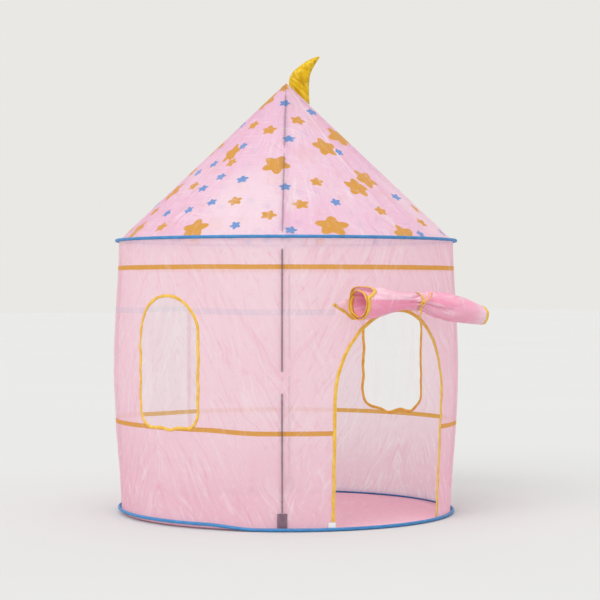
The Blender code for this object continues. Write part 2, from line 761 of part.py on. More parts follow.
def make_sleeves(rod, azimuth):
    """The two cloth channels that hold one rod to the wall and to the roof."""
    section = sleeve_section()
    bottom = POCKET_BOTTOM_Z + POCKET_HEIGHT + POCKET_HEADROOM + rim_lift(azimuth)
    levels = [wall_corner(azimuth, share).z for share in WALL_ROW_SHARES]
    heights = [bottom, *[z for z in levels if bottom < z < SLEEVE_TOP_Z], SLEEVE_TOP_Z]
    rings = []
    for z in heights:
        radius = wall_point(azimuth, z).xy.length
        rings.append([wall_point(azimuth + side / radius, z, depth) for side, depth in section])
    add_part(f"wall_sleeve_{rod}", loft_mesh(rings), "pink_polyester")

    rings = []
    for share in ROOF_SLEEVE_SHARES:
        radius = ROOF_FOOT_RADIUS * (1.0 - share)
        rings.append([roof_point(azimuth + side / radius, share, depth) for side, depth in section])
    add_part(f"roof_sleeve_{rod}", loft_mesh(rings), "pink_polyester")


def foot_slope(azimuth):
    """How far the wall leans out for each unit of height at its foot."""
    foot, above = (wall_corner(azimuth, share) for share in WALL_ROW_SHARES[:2])
    return (above.xy.length - foot.xy.length) / (above.z - foot.z)


def rod_foot(azimuth):
    """The middle of a rod's lower end, high enough for its leaning pocket to clear the floor."""
    rise = abs(foot_slope(azimuth)) * (POCKET_FRONT - POCKET_BACK) / 2
    return wall_axis(azimuth, ROD_FOOT_Z + rim_lift(azimuth) + rise)


def wall_axis(azimuth, z):
    """A point on the middle line of a rod in the wall."""
    return wall_point(azimuth, z, ROD_DEPTH)


def roof_axis(azimuth, share):
    """A point on the middle line of a rod in the roof."""
    return roof_corner(azimuth, share, ROD_DEPTH)


def elbow_corner(azimuth):
    """Where the middle lines of the wall rod and the roof rod cross."""

    def flat(point):
        return Vector((point.xy.length, point.z))

    wall_top, wall_under = (wall_corner(azimuth, share, ROD_DEPTH) for share in (1.0, WALL_ROW_SHARES[-2]))
    lean = flat(wall_top) - flat(wall_under)
    foot = flat(roof_axis(azimuth, 0.0))
    slope = flat(roof_axis(azimuth, WALL_ROW_SHARES[1])) - foot
    across = foot - flat(wall_top)
    share = (across.x * slope.y - across.y * slope.x) / (lean.x * slope.y - lean.y * slope.x)
    corner = flat(wall_top) + lean * share
    return polar(corner.x, azimuth, corner.y)


def rod_directions(azimuth):
    """Unit steps from the elbow down the wall rod and up the roof rod."""
    down = wall_corner(azimuth, WALL_ROW_SHARES[-2], ROD_DEPTH) - wall_corner(azimuth, 1.0, ROD_DEPTH)
    up = roof_axis(azimuth, ROOF_ROW_SHARES[1]) - roof_axis(azimuth, 0.0)
    return down.normalized(), up.normalized()


def make_ferrule(name, length, middle, direction):
    """A straight socket for two rod ends, with a web between its two blind bores."""
    half, web = length / 2, FERRULE_WEB / 2
    profile = [
        (0.0, web),
        (BORE_RADIUS, web),
        (BORE_RADIUS, half),
        (FERRULE_RADIUS, half),
        (FERRULE_RADIUS, -half),
        (BORE_RADIUS, -half),
        (BORE_RADIUS, -web),
        (0.0, -web),
    ]
    aim(turned_part(name, profile, ROD_SIDES, "white_plastic"), middle, direction)


def make_elbow(name, azimuth):
    """The bent socket at the eave that turns a wall rod into a roof rod."""
    corner = elbow_corner(azimuth)
    down, up = rod_directions(azimuth)
    near, far = corner + down * ELBOW_CORNER, corner + up * ELBOW_CORNER
    points = [corner + down * ELBOW_LOWER_ARM]
    for step in range(ELBOW_STEPS + 1):
        share = step / ELBOW_STEPS
        points.append(near.lerp(corner, share).lerp(corner.lerp(far, share), share))
    points.append(corner + up * ELBOW_UPPER_ARM)
    elbow = add_part(name, tube_mesh(points, FERRULE_RADIUS, ROD_SIDES), "white_plastic")
    for label, way in (("lower", down), ("upper", up)):
        ends = [corner + way * ELBOW_CORE, corner + way * (ELBOW_LOWER_ARM + OVERRUN)]
        bore = add_cutter(f"{name}_{label}_bore", tube_mesh(ends, BORE_RADIUS, ROD_SIDES))
        apply_boolean(elbow, "DIFFERENCE", bore)


def make_rods(rod, azimuth):
    """One frame pole: four rods, two ferrules and the elbow, from the pocket to the hub."""
    corner = elbow_corner(azimuth)
    down, up = rod_directions(azimuth)
    end_space = FERRULE_WEB / 2 + GAP
    joint = wall_axis(azimuth, WALL_FERRULE_Z)
    grain = (wall_axis(azimuth, WALL_FERRULE_Z + WALL_FERRULE_LENGTH / 2) - joint).normalized()
    levels = [wall_corner(azimuth, share, ROD_DEPTH) for share in WALL_ROW_SHARES]
    foot = rod_foot(azimuth)
    below = [point for point in levels if foot.z < point.z < WALL_FERRULE_Z]
    above = [point for point in levels if WALL_FERRULE_Z < point.z < corner.z - ELBOW_LOWER_ARM]
    lower = [foot, *below, joint - grain * end_space]
    upper = [joint + grain * end_space, *above, corner + down * (ELBOW_CORE + GAP)]
    add_rod(f"wall_rod_lower_{rod}", lower)
    add_rod(f"wall_rod_upper_{rod}", upper)
    make_ferrule(f"wall_ferrule_{rod}", WALL_FERRULE_LENGTH, joint, grain)
    make_elbow(f"eave_elbow_{rod}", azimuth)

    middle = roof_axis(azimuth, ROOF_FERRULE_SHARE)
    hub_end = roof_axis(azimuth, 1.0 - (HUB_BORE_START + GAP) / ROOF_FOOT_RADIUS)
    add_rod(f"roof_rod_lower_{rod}", [corner + up * (ELBOW_CORE + GAP), middle - up * end_space])
    add_rod(f"roof_rod_upper_{rod}", [middle + up * end_space, hub_end])
    make_ferrule(f"roof_ferrule_{rod}", ROOF_FERRULE_LENGTH, middle, up)


def add_rod(name, points):
    """One fibreglass rod."""
    add_part(name, tube_mesh(points, ROD_RADIUS), "grey_rod")


def make_hub():
    """The four-way hub under the apex: a ball with four sloping sockets."""
    bm = bmesh.new()
    bmesh.ops.create_uvsphere(bm, u_segments=12, v_segments=8, radius=HUB_RADIUS)
    bmesh.ops.translate(bm, verts=bm.verts, vec=(0.0, 0.0, APEX_Z - HUB_DROP))
    hub = add_part("apex_hub", mesh_from(bm), "white_plastic")
    for rod, azimuth in enumerate(ROD_AZIMUTHS):
        shares = [1.0 - reach / ROOF_FOOT_RADIUS for reach in (HUB_SOCKET_START, HUB_SOCKET_END)]
        socket = [roof_axis(azimuth, share) for share in shares]
        arm = add_cutter(f"hub_socket_{rod}", tube_mesh(socket, FERRULE_RADIUS, ROD_SIDES))
        apply_boolean(hub, "UNION", arm)
    for rod, azimuth in enumerate(ROD_AZIMUTHS):
        shares = [1.0 - reach / ROOF_FOOT_RADIUS for reach in (HUB_BORE_START, OVERRUN)]
        bore = [roof_axis(azimuth, share) for share in shares]
        hole = add_cutter(f"hub_bore_{rod}", tube_mesh(bore, BORE_RADIUS, ROD_SIDES))
        apply_boolean(hub, "DIFFERENCE", hole)


def block_mesh(low, high):
    """A box between two corners, about its object's own origin."""
    bm = bmesh.new()
    bmesh.ops.create_cube(bm, size=1.0)
    for vert in bm.verts:
        vert.co = [low[i] if vert.co[i] < 0 else high[i] for i in range(3)]
    return mesh_from(bm)


def make_pocket(rod, azimuth):
    """The webbing pocket that holds a rod's foot, open above and sewn flat to the wall."""
    foot = rod_foot(azimuth)
    half, below = POCKET_WIDTH / 2, TAPE + GAP
    back, front = POCKET_BACK - ROD_DEPTH, POCKET_FRONT - ROD_DEPTH
    low, high = (-half, back, -below), (half, front, POCKET_HEIGHT - below)
    pocket = add_part(f"foot_pocket_{rod}", block_mesh(low, high), "webbing")
    low = (TAPE - half, -OVERRUN, -GAP)
    high = (half - TAPE, front - TAPE, POCKET_HEIGHT + OVERRUN)
    inside = add_cutter(f"foot_pocket_{rod}_inside", block_mesh(low, high))
    for piece in (pocket, inside):
        piece.location = foot
        piece.rotation_euler = (math.atan(foot_slope(azimuth)), 0.0, azimuth)
    apply_boolean(pocket, "DIFFERENCE", inside)


def tie_middle():
    """The middle of the roll where the ribbon ties it."""
    return door_seam() + Vector((TIE_X, -ROLL_STANDOFF, ROLL_RISE))


def roll_centre(station):
    """Middle of the roll and its radius at a station."""
    side, radius_share, droop_share = ROLL_STATION_SHARES[station]
    reach = ROLL_LEFT_REACH if side < 0 else ROLL_RIGHT_REACH
    middle = tie_middle() + Vector((side * reach, 0.0, -ROLL_DROOP * droop_share))
    return middle, ROLL_RADIUS * radius_share


def flap_point(station, row):
    """The door flap from its seam, row 0, over one fold and into the roll."""
    middle, radius = roll_centre(station)
    turn = max(row - WEB_ROWS, 0) / (ROLL_ROWS - WEB_ROWS)
    angle = ROLL_OUTER_ANGLE + 2 * math.pi * ROLL_TURNS * turn
    reach = radius * (1.0 - (1.0 - ROLL_CORE_SHARE) * turn)
    point = middle + Vector((0.0, math.cos(angle), math.sin(angle))) * reach
    if station == 0 and row < len(CORNER_ROW_SHARES):
        point.x -= CORNER_REACH * CORNER_ROW_SHARES[row]
    if row < WEB_ROWS:
        side = ROLL_STATION_SHARES[station][0]
        seam = door_seam() + Vector((side * SEAM_HALF_WIDTH, 0.0, 0.0))
        point = seam if row == 0 else seam.lerp(point, WEB_SHARE)
    return point


def door_seam():
    """The middle of the seam at the arch's top, on which the rolled flap swings."""
    return polar(wall_point(0.0, SEAM_Z, -SEAM_STACK).xy.length, 0.0, SEAM_Z)


def make_flap(axis):
    """The rolled door flap and the bead of tape bound round its free edges."""
    stations = len(ROLL_STATION_SHARES) - 1
    mesh = grid_mesh(stations, ROLL_ROWS, flap_point)
    flap = add_part("door_flap_roll", mesh, "pink_polyester")
    thicken(flap, CLOTH, offset=0.0)

    edge = [(0, row) for row in range(WEB_ROWS, ROLL_ROWS + 1)]
    edge += [(station, ROLL_ROWS) for station in range(1, stations)]
    edge += [(stations, row) for row in range(ROLL_ROWS, WEB_ROWS - 1, -1)]
    bead = add_part("door_flap_binding", tube_mesh(bead_path(edge), BEAD_RADIUS, sides=6), "yellow_tape")
    for piece in (flap, bead):
        carry(piece, axis)


def bead_path(edge):
    """The middle of the bead that runs just off the flap's edge, mitred at its corners."""
    last_station = len(ROLL_STATION_SHARES) - 1
    points = [flap_point(*corner) for corner in edge]
    outward = []
    for corner, start, end in zip(zip(edge, edge[1:]), points, points[1:]):
        (station, row), (next_station, next_row) = corner
        if station == next_station:
            inner = flap_point(1 if station == 0 else last_station - 1, max(row, next_row)) - end
        else:
            inner = flap_point(station, row - 1) - start
        run = (end - start).normalized()
        outward.append(-(inner - run * inner.dot(run)).normalized())
    steps = [outward[0]]
    for before, after in zip(outward, outward[1:]):
        steps.append((before + after) / (1.0 + before.dot(after)))
    steps.append(outward[-1])
    return [point + step * BEAD_OFFSET for point, step in zip(points, steps)]


def ribbon_ring(place, along, out, thickness=TAPE):
    """A ribbon's section: its width along one way and its thickness along another."""
    half, thin = along * RIBBON_WIDTH / 2, out * thickness / 2
    return [place - half - thin, place + half - thin, place + half + thin, place - half + thin]


def tie_radius():
    """Radius of the ribbon round the pinched roll."""
    pinch = min(share for _, share, _ in ROLL_STATION_SHARES[:-1])
    return ROLL_RADIUS * pinch + CLOTH / 2 + TAPE / 2 + RIBBON_SLACK


def tie_point(angle, grow=0.0):
    """A point of the ribbon's round, from +Y towards +Z."""
    reach = tie_radius() + grow
    return tie_middle() + Vector((0.0, math.cos(angle), math.sin(angle))) * reach


def make_tie(axis):
    """The ribbon round the roll, with its knot and its two bow loops."""
    along = Vector((1.0, 0.0, 0.0))
    seam = door_seam()
    span = RIBBON_END_ANGLE - RIBBON_START_ANGLE
    angles = [RIBBON_START_ANGLE + span * step / RIBBON_STEPS for step in range(RIBBON_STEPS + 1)]
    rings = []
    for angle in angles:
        out = Vector((0.0, math.cos(angle), math.sin(angle)))
        rings.append(ribbon_ring(tie_point(angle), along, out))
    for at_end, neighbour in ((False, tie_point(angles[0])), (True, tie_point(angles[-1]))):
        way = (neighbour - seam).normalized()
        out = along.cross(way) if at_end else way.cross(along)
        ring = ribbon_ring(seam + way * RIBBON_FOOT + out * RIBBON_LIFT, along, out)
        rings.insert(len(rings) if at_end else 0, ring)
    tie = add_part("tie_ribbon", loft_mesh(rings), "yellow_tape")

    centre = tie_point(KNOT_ANGLE, KNOT_SIZE[1] / 2)
    bm = bmesh.new()
    bmesh.ops.create_uvsphere(bm, u_segments=8, v_segments=6, radius=1.0)
    bmesh.ops.scale(bm, verts=bm.verts, vec=[size / 2 for size in KNOT_SIZE])
    bmesh.ops.translate(bm, verts=bm.verts, vec=centre)
    apply_boolean(tie, "UNION", carry(add_cutter("tie_knot", mesh_from(bm)), axis))
    for name, tilt in (("tie_bow_upper", BOW_TILT), ("tie_bow_lower", BOW_TILT + math.pi)):
        apply_boolean(tie, "UNION", carry(add_cutter(name, bow_mesh(centre, tilt)), axis))
    carry(tie, axis)


def bow_mesh(centre, tilt):
    """One flattened loop of the bow, out from the knot at a tilt in the roll's front plane."""
    way = Vector((math.cos(tilt), 0.0, math.sin(tilt)))
    across = Vector((-math.sin(tilt), 0.0, math.cos(tilt)))
    front = Vector((0.0, -1.0, 0.0))
    middle = centre + way * BOW_LENGTH / 2
    rings = []
    for step in range(BOW_STEPS):
        angle = 2 * math.pi * step / BOW_STEPS
        out = way * math.cos(angle) + across * math.sin(angle)
        place = middle + way * math.cos(angle) * BOW_LENGTH / 2 + across * math.sin(angle) * BOW_HEIGHT / 2
        half, thin = front * RIBBON_WIDTH / 4, out * BOW_THICKNESS / 2
        rings.append([place - half - thin, place + half - thin, place + half + thin, place - half + thin])
    return loft_mesh(rings, closed=True)


def tail_hinge():
    """Where the ribbon's loose end hangs from, just off the tied round."""
    return tie_point(TAIL_ANGLE, TAPE + GAP) + Vector((-RIBBON_WIDTH, 0.0, 0.0))


def make_tail(axis):
    """The ribbon's loose end."""
    along, out = Vector((1.0, 0.0, 0.0)), Vector((0.0, 1.0, 0.0))
    rings = []
    for share in (0.0, 0.5, 1.0):
        curl = TAIL_CURL * math.sin(math.pi * share)
        place = tail_hinge() + Vector((0.0, -curl, -TAIL_LENGTH * share))
        rings.append(ribbon_ring(place, along, out))
    carry(add_part("tie_tail", loft_mesh(rings), "yellow_tape"), axis)


def make_axis(name, place, parent=None):
    """An empty on a joint's axis."""
    axis = bpy.data.objects.new(name, None)
    bpy.data.collections["play_tent"].objects.link(axis)
    axis.parent = parent
    axis.location = place if parent is None else place - parent.location
    return axis


def carry(piece, axis):
    """Hangs a piece, made where it stands, on a joint's empty."""
    place = axis.location if axis.parent is None else axis.location + axis.parent.location
    piece.parent = axis
    piece.location = -place
    return piece


def make_moon():
    """The stuffed crescent, sewn by its thin foot along one rib below the apex."""
    azimuth = ROD_AZIMUTHS[ROD_OF_MOON]
    side = polar(1.0, azimuth + math.pi / 2, 0.0)

    def edge(shares):
        reach, height = shares
        return polar(MOON_REACH * reach, azimuth, APEX_Z + MOON_HEIGHT * height)

    feet = [MOON_FOOT_START, MOON_FOOT_END]
    keel = [roof_corner(azimuth, 1.0 - reach / ROOF_FOOT_RADIUS, -GAP) for reach in feet]
    sections = [(*keel, MOON_KEEL_SHARE)]
    sections += [(edge(outer), edge(inner), share) for outer, inner, share in MOON_SECTION_SHARES]
    rings = []
    for outer, inner, share in sections:
        middle, reach = (outer + inner) / 2, (inner - outer) / 2
        lift = MOON_HALF_THICKNESS * share
        ring = []
        for step in range(MOON_SIDES):
            angle = 2 * math.pi * step / MOON_SIDES
            ring.append(middle + reach * math.cos(angle) + side * lift * math.sin(angle))
        rings.append(ring)
    add_part("moon", loft_mesh(rings), "yellow_satin")


def main():
    """Builds the whole tent."""
    clear_scene()
    make_floor()
    make_wall()
    make_roof()
    make_hoop("base", BASE_HOOP_RADIUS, BASE_SEAM_Z, BASE_LEG, rim_lift)
    make_hoop("eave", EAVE_HOOP_RADIUS, EAVE_SEAM_Z, EAVE_LEG, no_lift)
    make_door_binding()
    for window in WINDOWS:
        make_window(*window)
    for rod, azimuth in enumerate(ROD_AZIMUTHS, start=1):
        make_sleeves(rod, azimuth)
        make_pocket(rod, azimuth)
        make_rods(rod, azimuth)
    make_hub()
    make_moon()
    seam_axis = make_axis("door_seam_axis", door_seam())
    make_flap(seam_axis)
    make_tie(seam_axis)
    make_tail(make_axis("tie_tail_axis", tail_hinge(), seam_axis))


main()
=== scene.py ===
"""Looks of a castle play tent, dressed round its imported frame.

Metres, +Z up, and the doorway faces -Y. An azimuth is measured from -Y towards +X.
A share of the wall or the roof runs from its lower edge, 0, to its upper one, 1.
"""

import logging
import math
import random
from abc import ABC, abstractmethod
from contextlib import contextmanager
from dataclasses import dataclass
from enum import Enum
from functools import cached_property
from typing import Iterator, Sequence

import bmesh
import bpy
import numpy as np
from bpy.types import ID, Material, Mesh, Node, NodeSocket, NodeTree, Object
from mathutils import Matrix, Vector, noise

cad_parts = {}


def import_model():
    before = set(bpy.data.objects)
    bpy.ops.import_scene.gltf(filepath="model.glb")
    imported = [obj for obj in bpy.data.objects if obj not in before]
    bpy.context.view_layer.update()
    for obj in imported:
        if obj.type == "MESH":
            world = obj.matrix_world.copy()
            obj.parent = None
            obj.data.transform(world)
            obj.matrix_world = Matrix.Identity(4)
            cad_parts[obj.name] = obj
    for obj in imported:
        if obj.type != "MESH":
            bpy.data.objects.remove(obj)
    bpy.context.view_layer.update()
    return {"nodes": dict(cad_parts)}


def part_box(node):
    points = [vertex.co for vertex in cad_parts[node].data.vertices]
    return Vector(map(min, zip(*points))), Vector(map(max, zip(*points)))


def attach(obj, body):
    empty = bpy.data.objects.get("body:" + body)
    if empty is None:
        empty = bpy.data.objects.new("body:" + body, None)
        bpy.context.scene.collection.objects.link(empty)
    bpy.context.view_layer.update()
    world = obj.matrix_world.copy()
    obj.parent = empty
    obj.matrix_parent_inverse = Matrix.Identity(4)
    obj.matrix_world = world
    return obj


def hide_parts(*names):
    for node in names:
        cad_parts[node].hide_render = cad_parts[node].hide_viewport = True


Array = np.ndarray
Colour = tuple[float, float, float]
Span = tuple[float, float]
Sockets = tuple[NodeSocket, ...]
LOG = logging.getLogger("play_tent")
TENT, ROLL, TAIL = "tent", "door_roll", "tie_end"
ROD_COUNT = 4
RODS = range(1, ROD_COUNT + 1)


class Print(Enum):
    """What is printed on a cloth, or painted on a rolled one as deeper colour and shade."""

    NONE = 0
    BANDS = 1
    STARS = 2
    LAYERS_AND_SHADE = 3


# Numbers on arrays


def polar(radius: Array, azimuth: Array, z: Array) -> Array:
    """Points at radii and azimuths about the tent's axis."""
    radius, azimuth, z = np.broadcast_arrays(radius, azimuth, z)
    return np.stack([radius * np.sin(azimuth), -radius * np.cos(azimuth), z], axis=-1)


def full_turn(count: int) -> Array:
    """Evenly spaced angles round a circle."""
    return np.linspace(0.0, 2 * math.pi, count, endpoint=False)


def smoothstep(start: float, end: float, value: Array) -> Array:
    """0 before start, 1 after end, and smooth between."""
    share = np.clip((np.asarray(value) - start) / (end - start), 0.0, 1.0)
    return share * share * (3.0 - 2.0 * share)


def wrap_angle(angle: Array) -> Array:
    """The same directions between minus pi and pi."""
    return (np.asarray(angle) + math.pi) % (2 * math.pi) - math.pi


def noise_at(x: Array, y: Array, z: float | Array = 0.0) -> Array:
    """Smooth noise between about -1 and 1.

    Args:
        x: First coordinates, in cells of the noise.
        y: Second coordinates.
        z: Third coordinates, or one number that picks the layer.

    Returns:
        The noise, in the shape of the coordinates.
    """
    x, y, z = np.broadcast_arrays(x, y, z)
    places = np.stack([x.ravel(), y.ravel(), z.ravel()], axis=-1).tolist()
    return np.array([noise.noise(place) for place in places]).reshape(x.shape)


def ridge(field: Array, width: float) -> Array:
    """Sharp lines, 1 high, where a noise field passes through 0."""
    return np.clip(1.0 - np.abs(field) / width, 0.0, 1.0)


def through(table: Sequence[Sequence[float]], at: Array) -> Array:
    """A smooth curve through the rows of a table.

    Args:
        table: Rows of numbers, at least two.
        at: Places from 0, the first row, to 1, the last.

    Returns:
        One row of numbers for each place.
    """
    rows = np.asarray(table, float)
    rows = np.vstack([2 * rows[0] - rows[1], rows, 2 * rows[-1] - rows[-2]])
    place = np.clip(at, 0.0, 1.0) * (len(rows) - 3)
    start = np.minimum(place.astype(int), len(rows) - 4)
    t = (place - start)[..., None]
    a, b, c, d = (rows[start + step] for step in range(4))
    bend = (2 * a - 5 * b + 4 * c - d) * t**2 + (3 * b - a - 3 * c + d) * t**3
    return 0.5 * (2 * b + (c - a) * t + bend)


def inside(across: Array, up: Array, outline: Array) -> Array:
    """Which places lie inside a closed outline.

    Args:
        across: First coordinates of the places.
        up: Second coordinates.
        outline: The outline's corners, one row each.

    Returns:
        True for each place inside.
    """
    result = np.zeros(across.shape, bool)
    low, high = outline.min(0), outline.max(0)
    near = (across > low[0]) & (across < high[0]) & (up > low[1]) & (up < high[1])
    x, y = across[near], up[near]
    hits = np.zeros(x.shape, bool)
    for (x0, y0), (x1, y1) in zip(outline, np.roll(outline, -1, axis=0)):
        if y0 != y1:
            hits ^= ((y0 > y) != (y1 > y)) & (x < (x1 - x0) * (y - y0) / (y1 - y0) + x0)
    result[near] = hits
    return result


def snap_to(across: Array, up: Array, outline: Array) -> tuple[Array, Array]:
    """Moves places to the nearest of an outline's closely set points."""
    gap = (across[:, None] - outline[None, :, 0]) ** 2 + (up[:, None] - outline[None, :, 1]) ** 2
    nearest = outline[gap.argmin(axis=1)]
    return nearest[:, 0], nearest[:, 1]


def cell_middles(*grids: Array) -> list[Array]:
    """The middles of a grid's cells, for each of its coordinates."""
    return [(grid[:-1, :-1] + grid[1:, :-1] + grid[1:, 1:] + grid[:-1, 1:]) / 4 for grid in grids]


def cut_points(kept: Array, dropped: Array) -> Array:
    """Finds the points of a grid that touch both a kept cell and a dropped one.

    Args:
        kept: Which cells are kept.
        dropped: Which are dropped.

    Returns:
        Which points they are.
    """
    touch = np.zeros((2, kept.shape[0] + 1, kept.shape[1] + 1), bool)
    for points, cells in zip(touch, (kept, dropped)):
        for i in (0, 1):
            for j in (0, 1):
                points[i : i + cells.shape[0], j : j + cells.shape[1]] |= cells
    return touch[0] & touch[1]


def resample(path: Array, step: float, closed: bool) -> Array:
    """A path with evenly set points.

    Args:
        path: Corners, one row each.
        step: The greatest distance between points.
        closed: Whether the last corner joins the first.

    Returns:
        The evenly set points. A closed path doesn't repeat its first.
    """
    points = np.vstack([path, path[:1]]) if closed else np.asarray(path, float)
    lengths = np.linalg.norm(np.diff(points, axis=0), axis=1)
    reached = np.concatenate([[0.0], np.cumsum(lengths)])
    count = max(int(math.ceil(reached[-1] / step)), 2)
    at = np.linspace(0.0, reached[-1], count + 1)
    if closed:
        at = at[:-1]
    return np.stack([np.interp(at, reached, points[:, i]) for i in range(points.shape[1])], axis=-1)


# Forms of the frame


@dataclass(frozen=True)
class TentForm:
    """The smooth form that the frame's faceted cloths follow."""

    first_rod: float = math.radians(-39.6)
    base_radius: float = 0.503
    eave_radius: float = 0.511
    wall_bottom: float = 0.00715
    wall_top: float = 0.82465
    bow_at_rods: float = 0.0195
    bow_between: float = 0.008
    mean_radius: float = 0.511
    lift: float = 0.010
    lift_from: Span = (math.radians(47.5), math.radians(65.0))
    lift_to: Span = (math.radians(140.0), math.radians(168.0))
    roof_radius: float = 0.509
    roof_foot: float = 0.82735
    apex: float = 1.312
    roof_sag: float = 0.008
    base_seam: float = 0.0058
    eave_seam: float = 0.826
    cloth: float = 0.0012
    crease_lean: float = math.radians(62.0)
    wall_folds: float = 0.0026
    wall_swells: float = 0.0018
    roof_folds: float = 0.0028
    roof_swells: float = 0.0014
    crumples: float = 0.0009
    hem_waves: float = 0.0007

    @property
    def wall_height(self) -> float:
        """Height of the wall between its seams."""
        return self.wall_top - self.wall_bottom

    @property
    def slant(self) -> float:
        """Length of the roof from its foot to the apex."""
        return math.hypot(self.roof_radius, self.apex - self.roof_foot)

    def rod_azimuth(self, rod: int) -> float:
        """Azimuth of a rod, counted from 1."""
        return self.first_rod + 2 * math.pi / ROD_COUNT * (rod - 1)

    def rod_wave(self, azimuth: Array) -> Array:
        """1 over a rod and 0 midway between two."""
        return (1.0 + np.cos(ROD_COUNT * (azimuth - self.first_rod))) / 2

    def rod_gap(self, azimuth: Array) -> Array:
        """Angle from the nearest rod."""
        half = math.pi / ROD_COUNT
        return np.abs((np.asarray(azimuth) - self.first_rod + half) % (2 * half) - half)

    def rim_lift(self, azimuth: Array) -> Array:
        """How far the lower rim stands off the ground."""
        turn = -wrap_angle(azimuth)
        return self.lift * smoothstep(*self.lift_from, turn) * (1.0 - smoothstep(*self.lift_to, turn))

    def wall_share(self, azimuth: Array, z: Array) -> Array:
        """The share of the wall's height that a height is at."""
        bottom = self.wall_bottom + self.rim_lift(azimuth)
        return (z - bottom) / (self.wall_top - bottom)

    def pull(self, azimuth: Array, height: Array) -> tuple[Array, Array]:
        """Places across and along the creases that run down towards the rods."""
        side, lean = self.rod_gap(azimuth) * self.mean_radius, self.crease_lean
        return height * math.cos(lean) - side * math.sin(lean), side * math.cos(lean) + height * math.sin(lean)

    def wall_crease(self, azimuth: Array, share: Array) -> Array:
        """How far folds and crumples push the wall outwards.

        Args:
            azimuth: Azimuths of the places.
            share: Shares of the wall's height.

        Returns:
            Outward steps, small at the hems and over the rods.
        """
        height = share * self.wall_height
        along = np.asarray(azimuth) * self.mean_radius
        across, down = self.pull(azimuth, height)
        x, y = np.sin(azimuth) * self.mean_radius, np.cos(azimuth) * self.mean_radius
        patch = smoothstep(-0.10, 0.35, noise_at(x / 0.17, y / 0.17, height / 0.20))
        tension = ridge(noise_at(across / 0.060, down / 0.36, 2.5 + x * 5.0 + y * 2.0), 0.24) ** 1.2
        crumple = ridge(noise_at(x / 0.055, y / 0.055, height / 0.06), 0.22)
        soft = noise_at(x / 0.12 + 7.0, y / 0.12, height / 0.30)
        hang = np.sin(along / 0.021 + 3.0 * noise_at(x / 0.1, y / 0.1, 4.0)) * np.exp(-(1.0 - share) / 0.05)
        push = self.wall_folds * tension * patch + self.crumples * crumple
        push = push + self.wall_swells * soft + self.hem_waves * hang
        hems = smoothstep(0.0, 0.035, share) * smoothstep(0.0, 0.03, 1.0 - share)
        rods = 0.10 + 0.90 * smoothstep(0.015, 0.110, self.rod_gap(azimuth) * self.mean_radius)
        return push * hems * rods

    def wall(self, azimuth: Array, share: Array, depth: float | Array = 0.0) -> Array:
        """Points of the wall.

        Args:
            azimuth: Azimuths of the points.
            share: Shares of the wall's height.
            depth: How far inside the wall's outer face they are.

        Returns:
            The points, creases and all.
        """
        bow = self.bow_between + (self.bow_at_rods - self.bow_between) * self.rod_wave(azimuth)
        swell = bow * np.clip(np.sin(np.pi * np.clip(share, 0, 1)), 0.0, None) ** 1.5
        radius = self.base_radius + (self.eave_radius - self.base_radius) * share + swell - depth
        radius = radius + self.wall_crease(azimuth, share)
        bottom = self.wall_bottom + self.rim_lift(azimuth)
        return polar(radius, azimuth, bottom + (self.wall_top - bottom) * share)

    def on_wall(self, centre: float, along: Array, z: Array, depth: float | Array) -> Array:
        """Wall points at distances along the cloth from an azimuth, and heights."""
        azimuth = centre + np.asarray(along) / self.mean_radius
        return self.wall(azimuth, self.wall_share(azimuth, z), depth)

    def roof_crease(self, azimuth: Array, share: Array) -> Array:
        """How far the roof's folds, which run down from the apex, stand out.

        Args:
            azimuth: Azimuths of the places.
            share: Shares of the roof's slant.

        Returns:
            Outward steps, small at the hem, at the apex and over the rods.
        """
        run = (1.0 - share) * self.slant
        x, y = np.sin(azimuth), np.cos(azimuth)
        fan = ridge(noise_at(x / 0.17, y / 0.17, run / 1.2 + 3.0), 0.30) ** 1.4
        patch = smoothstep(-0.25, 0.35, noise_at(x / 0.7 + 2.0, y / 0.7, run / 0.20))
        crumple = ridge(noise_at(x * run / 0.07, y * run / 0.07, run / 0.08), 0.22)
        soft = noise_at(x * run / 0.14, y * run / 0.14, run / 0.3 + 9.0)
        hang = np.sin(azimuth * self.roof_radius / 0.02 + 3.0 * noise_at(x / 0.3, y / 0.3, 1.0)) * np.exp(-share / 0.05)
        push = self.roof_folds * fan * patch * smoothstep(0.0, 0.35, run) + self.crumples * crumple
        push = push + self.roof_swells * soft + self.hem_waves * hang
        rods = 0.12 + 0.88 * smoothstep(0.010, 0.050, self.rod_gap(azimuth) * np.maximum(run, 0.02) * 0.72)
        return push * rods * smoothstep(0.0, 0.03, share) * smoothstep(0.0, 0.08, run)

    def roof(self, azimuth: Array, share: Array, depth: float | Array = 0.0) -> Array:
        """Points of the roof.

        Args:
            azimuth: Azimuths of the points.
            share: Shares of the roof's slant.
            depth: How far inside the roof's outer face they are.

        Returns:
            The points, creases and all.
        """
        rise = self.apex - self.roof_foot
        out = np.array([rise, self.roof_radius]) / self.slant
        sag = self.roof_sag * (1.0 - self.rod_wave(azimuth)) * np.sin(np.pi * np.clip(share, 0, 1))
        inward = depth + sag - self.roof_crease(azimuth, share)
        radius = self.roof_radius * (1.0 - share) - out[0] * inward
        return polar(np.maximum(radius, 0.0), azimuth, self.roof_foot + rise * share - out[1] * inward)


FORM = TentForm()


# Meshes


@dataclass
class Patch:
    """A grid of points with its faces and the flat coordinates of their corners."""

    points: Array
    faces: Array
    maps: dict[str, Array]

    def mesh(self, name: str) -> Mesh:
        """Makes a smooth mesh of the patch, without loose points.

        Args:
            name: The mesh's name.

        Returns:
            The mesh.
        """
        used, flat = np.unique(self.faces, return_inverse=True)
        made = bpy.data.meshes.new(name)
        made.from_pydata(self.points[used].tolist(), [], flat.reshape(self.faces.shape).tolist())
        for label, places in self.maps.items():
            layer = made.uv_layers.new(name=label)
            layer.data.foreach_set("uv", np.asarray(places, np.float32).ravel())
        made.shade_smooth()
        return made


